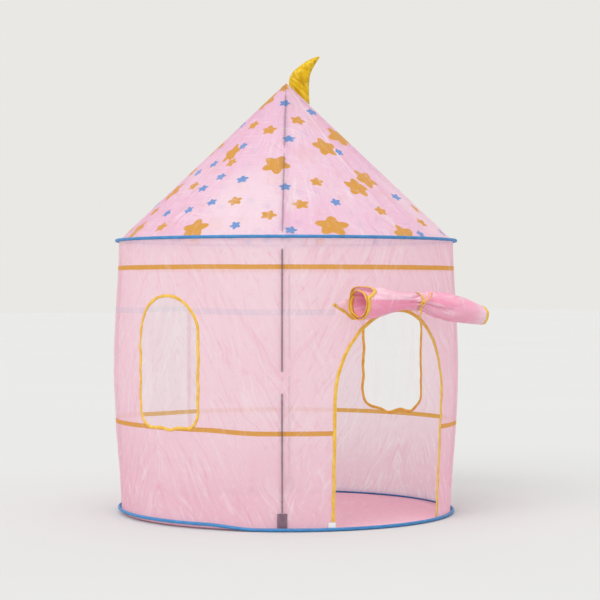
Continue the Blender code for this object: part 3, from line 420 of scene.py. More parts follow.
def grid_patch(points: Array, maps: dict[str, Array], keep: Array | None = None, wrap: bool = False) -> Patch:
    """A patch from a grid of points.

    Args:
        points: Points by column and row. Where it wraps, the last column repeats the first.
        maps: Flat coordinates by column and row, for each map's name.
        keep: Which cells are kept, all unless given.
        wrap: Whether the last column is welded to the first.

    Returns:
        The patch.
    """
    columns, rows = points.shape[0] - 1, points.shape[1] - 1
    column, row = np.meshgrid(np.arange(columns), np.arange(rows), indexing="ij")
    if keep is not None:
        column, row = column[keep], row[keep]
    column, row = column.ravel(), row.ravel()
    corners = [(column, row), (column + 1, row), (column + 1, row + 1), (column, row + 1)]
    width = rows + 1
    faces = np.stack([(c % columns if wrap else c) * width + r for c, r in corners], axis=-1)
    placed = {label: np.stack([flat[c, r] for c, r in corners], axis=1) for label, flat in maps.items()}
    return Patch(points.reshape(-1, 3), faces, placed)


def swept_mesh(name: str, rings: Array, closed: bool, capped: bool = True) -> Mesh:
    """A closed skin over sections along a path.

    Args:
        name: The mesh's name.
        rings: Points by section and place round it.
        closed: Whether the last section joins the first.
        capped: Whether open ends are closed.

    Returns:
        The mesh, with its flat coordinates along and round it in metres.
    """
    rings = np.concatenate([rings, rings[:1]]) if closed else rings
    loop = np.concatenate([rings, rings[:, :1]], axis=1)
    run = np.concatenate([[0.0], np.cumsum(np.linalg.norm(np.diff(rings.mean(1), axis=0), axis=1))])
    girth = np.concatenate([[0.0], np.cumsum(np.linalg.norm(np.diff(loop.mean(0), axis=0), axis=1))])
    girth = girth if girth[-1] > 1e-4 else np.linspace(0, 0.02, len(girth))
    flat = np.stack(np.meshgrid(run, girth, indexing="ij"), axis=-1)
    mesh = grid_patch(loop, {"cloth": flat, "pull": flat[..., ::-1]}).mesh(name)
    with opened(mesh) as bm:
        bmesh.ops.remove_doubles(bm, verts=bm.verts, dist=1e-7)
        if capped and not closed:
            bmesh.ops.holes_fill(bm, edges=[edge for edge in bm.edges if edge.is_boundary])
        bmesh.ops.recalc_face_normals(bm, faces=bm.faces)
    mesh.shade_smooth()
    return mesh


def frames_along(path: Array, closed: bool) -> Array:
    """Unit steps along a path.

    Args:
        path: The path's points.
        closed: Whether it joins up.

    Returns:
        A step for each point.
    """
    if closed:
        steps = np.roll(path, -1, axis=0) - np.roll(path, 1, axis=0)
    else:
        steps = np.gradient(path, axis=0)
    return steps / np.maximum(np.linalg.norm(steps, axis=-1, keepdims=True), 1e-9)


def ribbon_rings(path: Array, wide: Array, width: float, thickness: float, closed: bool = False) -> Array:
    """Rounded flat sections of a ribbon.

    Args:
        path: Middle points.
        wide: The way its width runs, at each point or once for all.
        width: Its width.
        thickness: Its thickness.
        closed: Whether the path is a loop.

    Returns:
        Rings of points for swept_mesh().
    """
    along = frames_along(path, closed)
    wide = np.broadcast_to(wide, path.shape)
    wide = wide - along * (wide * along).sum(-1, keepdims=True)
    wide = wide / np.linalg.norm(wide, axis=-1, keepdims=True)
    thick = np.cross(along, wide)
    angles = full_turn(8)
    side = np.sign(np.cos(angles)) * np.abs(np.cos(angles)) ** 0.5 * width / 2
    lift = np.sin(angles) * thickness / 2
    return path[:, None] + wide[:, None] * side[None, :, None] + thick[:, None] * lift[None, :, None]


@contextmanager
def opened(mesh: Mesh) -> Iterator[bmesh.types.BMesh]:
    """Opens a mesh to edit it, and writes it back.

    Args:
        mesh: The mesh.

    Yields:
        Its editable copy.
    """
    bm = bmesh.new()
    bm.from_mesh(mesh)
    yield bm
    bm.to_mesh(mesh)
    bm.free()


def put(name: str, data: ID) -> Object:
    """Puts an object with its data in the scene."""
    made = bpy.data.objects.new(name, data)
    bpy.context.scene.collection.objects.link(made)
    return made


# Materials


class Bench:
    """Short calls that make and join the nodes of one tree."""

    def __init__(self, tree: NodeTree) -> None:
        """Works on a tree."""
        self.tree = tree

    def feed(self, socket: NodeSocket, value: object) -> None:
        """Joins an input to another socket or sets its value, with full opacity for a colour."""
        if isinstance(value, NodeSocket):
            self.tree.links.new(value, socket)
        else:
            socket.default_value = (*value, 1.0) if socket.type == "RGBA" else value

    def node(self, kind: str, inputs: dict[str | int, object] | None = None, **settings: object) -> Node:
        """Adds a shader node.

        Args:
            kind: Its type, without the ShaderNode at its start.
            inputs: Sockets or values for its inputs.
            **settings: Its own settings.

        Returns:
            The node.
        """
        made = self.tree.nodes.new(f"ShaderNode{kind}")
        for key, value in settings.items():
            setattr(made, key, value)
        for key, value in (inputs or {}).items():
            self.feed(made.inputs[key], value)
        return made

    def math(self, operation: str, *values: object, clamp: bool = False) -> NodeSocket:
        """Adds a Math node and gives its result."""
        made = self.node("Math", operation=operation, use_clamp=clamp)
        for socket, value in zip(made.inputs, values):
            self.feed(socket, value)
        return made.outputs[0]

    def times(self, first: object, second: object, clamp: bool = False) -> NodeSocket:
        """The product of two values."""
        return self.math("MULTIPLY", first, second, clamp=clamp)

    def plus(self, first: object, second: object, clamp: bool = False) -> NodeSocket:
        """The sum of two values."""
        return self.math("ADD", first, second, clamp=clamp)

    def minus(self, first: object, second: object, clamp: bool = False) -> NodeSocket:
        """The difference of two values."""
        return self.math("SUBTRACT", first, second, clamp=clamp)

    def most(self, *values: object) -> NodeSocket:
        """The greater of two values."""
        return self.math("MAXIMUM", *values)

    def parts(self, vector: object) -> Sockets:
        """A vector's three numbers."""
        return tuple(self.node("SeparateXYZ", {0: vector}).outputs)

    def blend(self, share: object, first: object, second: object) -> NodeSocket:
        """Mixes two colours and gives the result."""
        made = self.node("Mix", data_type="RGBA")
        for index, value in ((0, share), (6, first), (7, second)):
            self.feed(made.inputs[index], value)
        return made.outputs[2]

    def step(self, value: object, low: float, high: float) -> NodeSocket:
        """0 below low and 1 above high, smooth between."""
        ends = {"Value": value, "From Min": low, "From Max": high}
        return self.node("MapRange", ends, interpolation_type="SMOOTHSTEP").outputs[0]

    def flat_map(self, label: str) -> NodeSocket:
        """A cloth's flat coordinates, in metres."""
        return self.node("UVMap", uv_map=label).outputs[0]

    def scaled(self, vector: object, scale: tuple[float, float, float]) -> NodeSocket:
        """A vector times a scale for each of its parts."""
        made = self.node("VectorMath", operation="MULTIPLY")
        self.feed(made.inputs[0], vector)
        made.inputs[1].default_value = scale
        return made.outputs[0]

    def noise(self, vector: object, detail: float = 0.0, roughness: float = 0.5) -> NodeSocket:
        """Noise between about 0 and 1."""
        sockets = {"Vector": vector, "Scale": 1.0, "Detail": detail, "Roughness": roughness}
        return self.node("TexNoise", sockets, noise_dimensions="3D").outputs[0]

    def line(self, value: object, width: float) -> NodeSocket:
        """Lines, 1 high, where noise passes through its middle."""
        away = self.math("ABSOLUTE", self.minus(value, 0.5))
        return self.minus(1.0, self.math("DIVIDE", away, width), clamp=True)

    def group(self, tree: NodeTree, inputs: dict[str, object] | None = None) -> Node:
        """Places a node group with its own values."""
        return self.node("Group", inputs, node_tree=tree)

    def bump(self, height: object, strength: float = 1.0) -> NodeSocket:
        """The normal of a surface with heights in metres."""
        return self.node("Bump", {"Height": height, "Distance": 1.0, "Strength": strength}).outputs[0]


def new_group(name: str, inputs: dict[str, float], outputs: Sequence[str]) -> tuple[Bench, dict, Node]:
    """Starts a shader node group.

    Args:
        name: The group's name.
        inputs: Its inputs with their first values. A vector's is None.
        outputs: Its outputs.

    Returns:
        A bench for its tree, its inputs' sockets by name, and its output node.
    """
    tree = bpy.data.node_groups.new(name, "ShaderNodeTree")
    for label, value in inputs.items():
        kind = "NodeSocketVector" if value is None else "NodeSocketFloat"
        socket = tree.interface.new_socket(name=label, in_out="INPUT", socket_type=kind)
        if value is not None:
            socket.default_value = value
    for label in outputs:
        tree.interface.new_socket(name=label, in_out="OUTPUT", socket_type="NodeSocketFloat")
    source, sink = tree.nodes.new("NodeGroupInput"), tree.nodes.new("NodeGroupOutput")
    return Bench(tree), {label: source.outputs[label] for label in inputs}, sink


class Effects:
    """Node groups that several finishes share, each made once."""

    @cached_property
    def creases(self) -> NodeTree:
        """Fine creases and crumples of thin cloth: their height, and masks of the painted highlights along them and the
        painted shade beside them.
        """
        inputs = {"Pull Height": 0.0005, "Crumple Height": 0.0003}
        bench, given, sink = new_group("cloth_creases", inputs, ("Height", "Painted Highlight", "Painted Shade", "Soft"))
        cloth, pull = bench.flat_map("cloth"), bench.flat_map("pull")
        patch = bench.step(bench.noise(bench.scaled(cloth, (6.0, 5.0, 1.0)), 1.0), 0.36, 0.60)
        patch = bench.plus(bench.times(patch, 0.65), 0.35)
        (across, down, _), (x, y, _) = bench.parts(pull), bench.parts(cloth)
        skew = bench.math("MULTIPLY_ADD", x, 0.4, down)
        stray = bench.noise(bench.scaled(cloth, (9.0, 7.0, 1.0)), 1.0)
        stray = bench.math("MULTIPLY_ADD", stray, 0.07, -0.035)
        pull = bench.node("CombineXYZ", {0: bench.plus(across, stray), 1: skew}).outputs[0]
        across = bench.minus(bench.math("MULTIPLY_ADD", y, 0.34, x), stray)
        lean = bench.node("CombineXYZ", {0: across, 1: y}).outputs[0]
        pale, dark, height = [], [], []
        # Map, cells in a metre across and along, detail, where a streak starts, share, pulled
        rows = (
            (pull, (40.0, 4.0, 1.0), 1.0, 0.615, 0.80, True),
            (pull, (112.0, 8.5, 1.0), 1.0, 0.605, 1.0, True),
            (lean, (100.0, 9.0, 1.0), 1.5, 0.61, 0.90, True),
            (cloth, (56.0, 42.0, 1.0), 3.0, 0.60, 0.60, False),
        )
        for place, cells, detail, start, share, pulled in rows:
            field = bench.noise(bench.scaled(place, cells), detail)
            amount = bench.times(patch, share) if pulled else share
            tall = given["Pull Height"] if pulled else given["Crumple Height"]
            # Pale streaks are painted highlights along the creases; dark ones are painted shade beside them
            streak = bench.times(bench.step(field, start, start + 0.065), amount)
            pale.append(streak)
            dark.append(bench.times(bench.step(field, 1.0 - start, 0.92 - start), amount))
            rise = bench.minus(streak, dark[-1])
            height.append(bench.times(rise, bench.times(tall, 14.0 / cells[0])))
        for label, found in (("Height", height), ("Painted Highlight", pale), ("Painted Shade", dark)):
            total = found[0]
            for one in found[1:]:
                total = bench.plus(total, one)
            if label == "Height":
                dents = bench.noise(bench.scaled(cloth, (60.0, 50.0, 1.0)), 2.0)
                total = bench.plus(total, bench.times(dents, given["Crumple Height"]))
            bench.feed(sink.inputs[label], total)
        bench.feed(sink.inputs["Soft"], bench.noise(bench.scaled(cloth, (3.0, 3.0, 1.0)), 2.0))
        return bench.tree

    @cached_property
    def gap(self) -> NodeTree:
        """Distance from the nearest of several evenly spaced upright lines round the tent."""
        inputs = {"Turn": 0.0, "Start": 0.0, "Period": 1.0, "Reach": 1.0}
        bench, given, sink = new_group("line_gap", inputs, ("Gap",))
        away = bench.math("DIVIDE", bench.minus(given["Turn"], given["Start"]), given["Period"])
        away = bench.minus(bench.math("FRACT", bench.plus(away, 0.5)), 0.5)
        away = bench.times(bench.math("ABSOLUTE", away), given["Period"])
        bench.feed(sink.inputs["Gap"], bench.times(away, given["Reach"]))
        return bench.tree

    @cached_property
    def weave(self) -> NodeTree:
        """A plain weave's threads."""
        bench, given, sink = new_group("plain_weave", {"Pitch": 0.0006, "Depth": 0.00003}, ("Height", "Thread"))
        waves = []
        for place in bench.parts(bench.flat_map("cloth"))[:2]:
            turns = bench.math("DIVIDE", place, given["Pitch"])
            waves.append(bench.math("SINE", bench.times(turns, math.pi)))
        thread = bench.math("ABSOLUTE", bench.times(waves[0], waves[1]))
        bench.feed(sink.inputs["Thread"], thread)
        bench.feed(sink.inputs["Height"], bench.times(thread, given["Depth"]))
        return bench.tree

    @cached_property
    def band(self) -> NodeTree:
        """A printed band across a coordinate, with slightly uneven edges."""
        bench, given, sink = new_group("printed_band", {"Place": 0.0, "Centre": 0.0, "Half Width": 0.01}, ("Mask",))
        wander = bench.noise(bench.scaled(bench.flat_map("cloth"), (30.0, 30.0, 1.0)), 1.0)
        wander = bench.times(bench.minus(wander, 0.5), 0.0012)
        away = bench.math("ABSOLUTE", bench.minus(given["Place"], given["Centre"]))
        away = bench.minus(bench.plus(away, wander), given["Half Width"])
        bench.feed(sink.inputs["Mask"], bench.step(away, 0.0006, -0.0006))
        return bench.tree

    @cached_property
    def star(self) -> NodeTree:
        """A printed star with round points, from places about its middle in units of its reach."""
        bench, given, sink = new_group("printed_star", {"Place": None, "Valley": 0.64}, ("Mask",))
        x, y, _ = bench.parts(given["Place"])
        reach = bench.math("SQRT", bench.plus(bench.times(x, x), bench.times(y, y)))
        turn = bench.math("COSINE", bench.times(bench.math("ARCTAN2", y, x), 5.0))
        point = bench.math("POWER", bench.plus(bench.times(turn, 0.5), 0.5), 0.95)
        rest = bench.minus(1.0, given["Valley"])
        edge = bench.plus(given["Valley"], bench.times(point, rest))
        bench.feed(sink.inputs["Mask"], bench.step(bench.minus(reach, edge), 0.03, -0.03))
        return bench.tree

    @cached_property
    def stitches(self) -> NodeTree:
        """A row of machine stitches along a line."""
        inputs = {"Along": 0.0, "Across": 0.0, "Pitch": 0.003, "Half Width": 0.0005}
        bench, given, sink = new_group("stitch_row", inputs, ("Mask",))
        turn = bench.math("FRACT", bench.math("DIVIDE", given["Along"], given["Pitch"]))
        dash = bench.step(bench.math("ABSOLUTE", bench.minus(turn, 0.5)), 0.42, 0.34)
        away = bench.minus(bench.math("ABSOLUTE", given["Across"]), given["Half Width"])
        row = bench.step(away, 0.0002, -0.0002)
        bench.feed(sink.inputs["Mask"], bench.times(dash, row))
        return bench.tree


EFFECTS = Effects()


class Finish(ABC):
    """A finish that one material gives."""

    name: str

    @abstractmethod
    def surface(self, bench: Bench) -> NodeSocket:
        """Makes the finish's nodes and gives its shader."""

    def material(self) -> Material:
        """The finished material."""
        material = bpy.data.materials.new(self.name)
        material.use_nodes = True
        material.node_tree.nodes.clear()
        bench = Bench(material.node_tree)
        output = bench.node("OutputMaterial")
        bench.feed(output.inputs["Surface"], self.surface(bench))
        return material


@dataclass(frozen=True)
class Lines:
    """A cloth's seam and the rods behind it: their soft edges, and where they run along the cloth."""

    seam_azimuth: float
    seam: Span
    rod: Span
    run: Span
    run_soft: float
    ferrule: Span
    ferrule_soft: float = 0.002
    ferrule_share: float = 0.92


ROOF_SEAM = math.radians(3.4)
WALL_LINES = Lines(math.pi, (0.0085, 0.0075), (0.0031, 0.0016), (0.045, 0.785), 0.002, (0.380, 0.442))
ROOF_LINES = Lines(ROOF_SEAM, (0.0045, 0.0035), (0.0032, 0.0016), (0.022, 0.690), 0.003, (0.317, 0.339))


@dataclass(frozen=True)
class SheerCloth(Finish):
    """Thin see-through polyester, with what is printed on it and painted shade where rods and pockets lie behind it."""

    name: str
    base: Colour
    pale: Colour
    deep: Colour
    opacity: float
    through: float
    prints: Print = Print.NONE
    pull_height: float = 0.0010
    crumple_height: float = 0.0005
    # Strengths of the painted highlights and the painted shade along the creases
    painted_highlight_share: float = 0.52
    painted_shade_share: float = 0.34
    roughness: float = 0.50
    glow: Colour = (1.0, 0.96, 0.97)
    ink: Colour = (0.77, 0.41, 0.035)
    blue_ink: Colour = (0.14, 0.37, 0.78)
    grey_band_tint: Colour = (0.50, 0.60, 0.78)
    # Purple-grey of the painted shade where rods and pockets lie behind the cloth
    rod_and_pocket_shade: Colour = (0.27, 0.11, 0.23)
    upper_band: float = 0.7340
    lower_band: float = 0.2680
    band_half: float = 0.0068
    # A faint grey-blue band along the wall's left side, mixed over the cloth's colour
    grey_band: float = 0.6065
    grey_half: float = 0.0085
    grey_end: Span = (-0.200, -0.212)
    grey_share: float = 0.30
    # How strongly rods and foot pockets behind the cloth are painted as shade
    wall_rod_share: float = 0.62
    roof_rod_share: float = 0.34
    pocket_side: Span = (0.0155, 0.0140)
    pocket_top: Span = (0.0450, 0.0435)
    pocket_share: float = 0.66
    foot_shade: Span = (0.36, 0.02)
    foot_opaque: Span = (0.24, 0.04)
    # Where a painted sheen lies beside each rod, towards the roof's foot
    painted_sheen_turn: Span = (0.66, 0.985)
    painted_sheen_run: Span = (0.30, 0.55)
    painted_sheen_share: float = 0.62
    glow_share: float = 0.16

    def near_line(self, bench: Bench, reach: object, start: float, period: float) -> NodeSocket:
        """Distance from lines that start at a quarter turn and come every so many."""
        inputs = {"Turn": bench.parts(bench.flat_map("turn"))[0], "Start": start, "Period": period, "Reach": reach}
        return bench.group(EFFECTS.gap, inputs).outputs["Gap"]

    def between(self, bench: Bench, value: object, span: Span, soft: float) -> NodeSocket:
        """1 over a span and 0 outside, with soft ends."""
        low, high = span
        return bench.times(bench.step(value, low - soft, low + soft), bench.step(value, high + soft, high - soft))

    def lines(self, bench: Bench, kind: Lines, reach: object, along: NodeSocket) -> Sockets:
        """Finds a cloth's seam and the rods behind it.

        Args:
            bench: The material's bench.
            kind: The cloth's lines.
            reach: Length of a quarter turn round the cloth.
            along: Places along the rods.

        Returns:
            The seam's mask, the distance from the nearest rod, and the rods' mask, faint over the ferrules.
        """
        seam_turn = (kind.seam_azimuth - FORM.first_rod) / (math.pi / 2)
        seam = bench.step(self.near_line(bench, reach, seam_turn, 4.0), *kind.seam)
        gap = self.near_line(bench, reach, 0.0, 1.0)
        line = bench.times(bench.step(gap, *kind.rod), self.between(bench, along, kind.run, kind.run_soft))
        ferrule = bench.times(self.between(bench, along, kind.ferrule, kind.ferrule_soft), kind.ferrule_share)
        return seam, gap, bench.times(line, bench.minus(1.0, ferrule))

    def bands(self, bench: Bench, base: NodeSocket) -> Sockets:
        """Prints the wall's orange bands on a colour, tints a faint grey-blue band, and paints shade where rods and
        foot pockets lie behind the cloth and towards its foot.

        Args:
            bench: The material's bench.
            base: The plain cloth's colour.

        Returns:
            The colour, and masks of its opaque parts and of its printed and painted-shade parts.
        """
        along, up, _ = bench.parts(bench.flat_map("cloth"))
        bands = ((self.upper_band, self.band_half), (self.lower_band, self.band_half), (self.grey_band, self.grey_half))
        masks = []
        for centre, half in bands:
            band = bench.group(EFFECTS.band, {"Place": up, "Centre": centre, "Half Width": half})
            masks.append(band.outputs["Mask"])
        ink = bench.most(*masks[:2])
        grey = bench.times(bench.times(masks[2], bench.step(along, *self.grey_end)), self.grey_share)
        seam, gap, line = self.lines(bench, WALL_LINES, FORM.mean_radius * math.pi / 2, up)
        # Painted shade where the rods and foot pockets lie behind the cloth
        pocket = bench.times(bench.step(gap, *self.pocket_side), bench.step(up, *self.pocket_top))
        line, pocket = bench.times(line, self.wall_rod_share), bench.times(pocket, self.pocket_share)
        rods = bench.most(line, pocket)
        low = bench.times(bench.step(up, *self.foot_shade), 0.36)
        colour = bench.blend(bench.most(bench.times(seam, 0.5), low), base, self.deep)
        colour = bench.blend(ink, bench.blend(grey, colour, self.grey_band_tint), self.ink)
        opaque = bench.most(ink, bench.times(seam, 0.6))
        opaque = bench.most(opaque, bench.step(up, *self.foot_opaque))
        # The mask of printed parts also holds the painted rod and pocket shade
        printed = bench.most(ink, bench.times(rods, 1.6, clamp=True))
        return bench.blend(rods, colour, self.rod_and_pocket_shade), opaque, printed

    def stars(self, bench: Bench, base: NodeSocket) -> Sockets:
        """Prints the roof's stars on a colour, and paints a sheen beside each rod, a paler seam and shade where the
        rods lie behind the cloth.

        Args:
            bench: The material's bench.
            base: The plain cloth's colour.

        Returns:
            The colour, and masks of its opaque parts and of its printed and painted-shade parts.
        """
        place = bench.node("Attribute", attribute_name="star_place", attribute_type="GEOMETRY").outputs["Vector"]
        star = bench.group(EFFECTS.star, {"Place": place}).outputs["Mask"]
        ink = bench.blend(bench.parts(place)[2], self.ink, self.blue_ink)
        turn, run, _ = bench.parts(bench.flat_map("turn"))
        reach = bench.times(run, FORM.roof_radius / FORM.slant * math.pi / 2)
        seam, _, line = self.lines(bench, ROOF_LINES, reach, run)
        # Painted sheen beside each rod
        painted_sheen = bench.times(self.between(bench, bench.math("FRACT", turn), self.painted_sheen_turn, 0.10), self.painted_sheen_share)
        painted_sheen = bench.times(painted_sheen, bench.step(run, *self.painted_sheen_run))
        # The seam is painted paler, as a painted sheen along it
        colour = bench.blend(bench.most(bench.times(seam, 0.65), painted_sheen), base, self.pale)
        colour = bench.blend(star, colour, ink)
        opaque = bench.most(star, bench.times(seam, 0.6))
        # Printed parts also hold the rod lines, which are painted as shade
        printed = bench.most(bench.times(star, 0.8), line)
        return bench.blend(bench.times(line, self.roof_rod_share), colour, self.rod_and_pocket_shade), opaque, printed

    def layers_and_shade(self, bench: Bench, base: NodeSocket) -> Sockets:
        """Deepens a colour where rolled cloth lies many times over and where shade is painted on it, and gives it with
        its mask.
        """
        depth = bench.node("Attribute", attribute_name="layers_and_shade", attribute_type="GEOMETRY").outputs["Fac"]
        return bench.blend(depth, base, self.deep), depth, bench.times(depth, 0.4)

    def surface(self, bench: Bench) -> NodeSocket:
        """Makes the cloth's nodes.

        Args:
            bench: The material's bench.

        Returns:
            Its shader.
        """
        heights = {"Pull Height": self.pull_height, "Crumple Height": self.crumple_height}
        crease = bench.group(EFFECTS.creases, heights)
        weave = bench.group(EFFECTS.weave, {"Pitch": 0.0007, "Depth": 0.00002})
        soft = bench.step(crease.outputs["Soft"], 0.35, 0.65)
        base = bench.blend(bench.times(soft, 0.42), self.base, self.pale)
        # Painted shade beside the creases
        dark = bench.times(crease.outputs["Painted Shade"], self.painted_shade_share, clamp=True)
        base = bench.blend(dark, base, self.deep)
        facing = bench.node("LayerWeight", {"Blend": 0.5}).outputs["Facing"]
        slant = bench.math("POWER", facing, 2.2)
        base = bench.blend(bench.times(slant, 0.60), base, self.deep)
        opaque = printed = None
        makers = {Print.BANDS: self.bands, Print.STARS: self.stars, Print.LAYERS_AND_SHADE: self.layers_and_shade}
        if self.prints in makers:
            base, opaque, printed = makers[self.prints](bench, base)
        # Painted highlights along the creases, kept off prints and the painted rod shade
        light = bench.times(crease.outputs["Painted Highlight"], self.painted_highlight_share, clamp=True)
        if printed is not None:
            light = bench.times(light, bench.minus(1.0, bench.times(printed, 0.80)))
        colour = bench.blend(light, base, self.pale)
        colour = bench.blend(bench.times(weave.outputs["Thread"], 0.08), colour, (1.0, 1.0, 1.0))
        bump = bench.bump(bench.plus(crease.outputs["Height"], weave.outputs["Height"]))
        rough = bench.minus(self.roughness, bench.times(light, 0.14))
        shader = bench.node(
            "BsdfPrincipled",
            {"Base Color": colour, "Roughness": rough, "Normal": bump, "Sheen Weight": 0.08, "Sheen Roughness": 0.4},
        )
        glow = self.glow_share
        if printed is not None:
            glow = bench.math("MULTIPLY_ADD", printed, -self.glow_share, self.glow_share)
        lit = bench.blend(glow, colour, self.glow)
        back = bench.node("BsdfTranslucent", {"Color": lit, "Normal": bump})
        cloth = bench.node("MixShader", {0: self.through, 1: shader.outputs[0], 2: back.outputs[0]})
        clear = bench.node("BsdfTransparent", {"Color": (1.0, 0.95, 0.97)})
        threads = bench.times(bench.minus(weave.outputs["Thread"], 0.4), 0.10)
        opacity = bench.plus(self.opacity, threads)
        opacity = bench.plus(opacity, bench.times(slant, 0.10), clamp=True)
        if opaque is not None:
            opacity = bench.plus(opacity, bench.times(opaque, 0.14), clamp=True)
        return bench.node("MixShader", {0: opacity, 1: clear.outputs[0], 2: cloth.outputs[0]}).outputs[0]


@dataclass(frozen=True)
class Tape(Finish):
    """Woven binding tape with a row of stitches."""

    name: str
    base: Colour
    worn: Colour
    thread: Colour
    roughness: float = 0.55
    stitch_at: float = 0.004

    def surface(self, bench: Bench) -> NodeSocket:
        """Makes the tape's nodes.

        Args:
            bench: The material's bench.

        Returns:
            Its shader.
        """
        flat = bench.flat_map("cloth")
        along, up, _ = bench.parts(flat)
        weave = bench.group(EFFECTS.weave, {"Pitch": 0.0009, "Depth": 0.00006})
        across = bench.minus(up, self.stitch_at)
        row = bench.group(EFFECTS.stitches, {"Along": along, "Across": across, "Pitch": 0.0032})
        tone = bench.step(bench.noise(bench.scaled(flat, (45.0, 160.0, 1.0)), 3.0), 0.32, 0.68)
        pucker = bench.noise(bench.scaled(flat, (260.0, 60.0, 1.0)), 2.0)
        colour = bench.blend(tone, self.base, self.worn)
        colour = bench.blend(bench.times(row.outputs["Mask"], 0.7), colour, self.thread)
        height = bench.plus(weave.outputs["Height"], bench.times(pucker, 0.0005))
        height = bench.plus(height, bench.times(row.outputs["Mask"], -0.0001))
        sockets = {"Base Color": colour, "Roughness": self.roughness, "Normal": bench.bump(height)}
        return bench.node("BsdfPrincipled", sockets).outputs[0]


@dataclass(frozen=True)
class Net(Finish):
    """Fine knitted netting that mostly shows what is behind it."""

    name: str = "window_net"
    base: Colour = (0.92, 0.90, 0.88)
    cell: float = 0.0016
    least: float = 0.03
    most: float = 0.17

    def surface(self, bench: Bench) -> NodeSocket:
        """Makes the net's nodes.

        Args:
            bench: The material's bench.

        Returns:
            Its shader.
        """
        flat = bench.flat_map("cloth")
        sockets = {"Vector": flat, "Scale": 1.0 / self.cell, "Randomness": 0.25}
        cells = bench.node("TexVoronoi", sockets, feature="DISTANCE_TO_EDGE", voronoi_dimensions="2D")
        knots = bench.step(cells.outputs["Distance"], 0.22, 0.08)
        fold = bench.noise(bench.scaled(bench.flat_map("pull"), (30.0, 4.0, 1.0)), 1.0)
        veil = bench.times(bench.step(fold, 0.45, 0.7), 0.08)
        alpha = bench.plus(bench.times(knots, self.most - self.least), self.least)
        height = bench.plus(bench.times(knots, 0.00012), bench.times(fold, 0.0006))
        bump = bench.bump(height, 0.6)
        colour = bench.blend(veil, self.base, (1.0, 1.0, 1.0))
        shader = bench.node("BsdfPrincipled", {"Base Color": colour, "Roughness": 0.7, "Normal": bump})
        bench.feed(shader.inputs["Alpha"], bench.plus(alpha, veil, clamp=True))
        return shader.outputs[0]


@dataclass(frozen=True)
class Satin(Finish):
    """Shiny woven satin with puckers along its seams, and painted highlights along its folds."""

    name: str = "yellow_satin"
    base: Colour = (0.70, 0.43, 0.002)
    deep: Colour = (0.38, 0.165, 0.001)
    # Pale yellow of the painted highlights along the folds
    light: Colour = (0.95, 0.74, 0.08)

    def surface(self, bench: Bench) -> NodeSocket:
        """Makes the satin's nodes.

        Args:
            bench: The material's bench.

        Returns:
            Its shader.
        """
        flat, pull = bench.flat_map("cloth"), bench.flat_map("pull")
        tone = bench.noise(bench.scaled(flat, (30.0, 34.0, 1.0)), 1.0)
        fold = bench.line(bench.noise(bench.scaled(pull, (26.0, 60.0, 1.0)), 1.0), 0.05)
        weave = bench.group(EFFECTS.weave, {"Pitch": 0.0005, "Depth": 0.00002})
        shade = bench.times(bench.step(tone, 0.42, 0.72), 0.55)
        colour = bench.blend(shade, self.base, self.deep)
        # Painted highlights along the folds
        colour = bench.blend(bench.times(fold, 0.55), colour, self.light)
        height = bench.plus(bench.times(fold, 0.0005), bench.times(tone, 0.0016))
        height = bench.plus(height, weave.outputs["Height"])
        rough = bench.plus(0.34, bench.times(weave.outputs["Thread"], 0.12))
        sockets = {"Base Color": colour, "Roughness": rough, "Normal": bench.bump(height, 0.9)}
        return bench.node("BsdfPrincipled", {**sockets, "Specular IOR Level": 0.22, "Anisotropic": 0.4}).outputs[0]


@dataclass(frozen=True)
class Hard(Finish):
    """A moulded, drawn or woven piece of the frame."""

    name: str
    base: Colour
    other: Colour
    roughness: float
    metallic: float = 0.0
    grain: tuple[float, float, float] = (300.0, 300.0, 300.0)
    depth: float = 0.00004

    def surface(self, bench: Bench) -> NodeSocket:
        """Makes the piece's nodes.

        Args:
            bench: The material's bench.

        Returns:
            Its shader.
        """
        place = bench.node("TexCoord").outputs["Object"]
        grain = bench.noise(bench.scaled(place, self.grain), 3.0, 0.6)
        broad = bench.noise(bench.scaled(place, (14.0, 14.0, 14.0)), 2.0)
        mixed = bench.plus(bench.times(grain, 0.6), bench.times(broad, 0.4))
        colour = bench.blend(bench.step(mixed, 0.35, 0.65), self.base, self.other)
        bump = bench.bump(bench.times(grain, self.depth))
        rough = bench.plus(self.roughness, bench.times(bench.minus(grain, 0.5), 0.2))
        sockets = {"Base Color": colour, "Roughness": rough, "Normal": bump, "Metallic": self.metallic}
        return bench.node("BsdfPrincipled", sockets).outputs[0]


@dataclass(frozen=True)
class Ground(Finish):
    """The studio's plain floor."""

    name: str = "studio_floor"
    base: Colour = (0.668, 0.678, 0.676)
    other: Colour = (0.676, 0.686, 0.684)

    def surface(self, bench: Bench) -> NodeSocket:
        """Makes the floor's nodes.

        Args:
            bench: The material's bench.

        Returns:
            Its shader.
        """
        place = bench.node("TexCoord").outputs["Object"]
        grain = bench.noise(bench.scaled(place, (0.5, 0.5, 0.5)), 2.0)
        colour = bench.blend(bench.step(grain, 0.3, 0.7), self.base, self.other)
        sockets = {"Base Color": colour, "Roughness": 0.9, "Specular IOR Level": 0.1}
        return bench.node("BsdfPrincipled", sockets).outputs[0]


PINK: Colour = (0.975, 0.772, 0.858)
PALE_PINK: Colour = (1.0, 0.93, 0.955)
DEEP_PINK: Colour = (0.87, 0.46, 0.60)


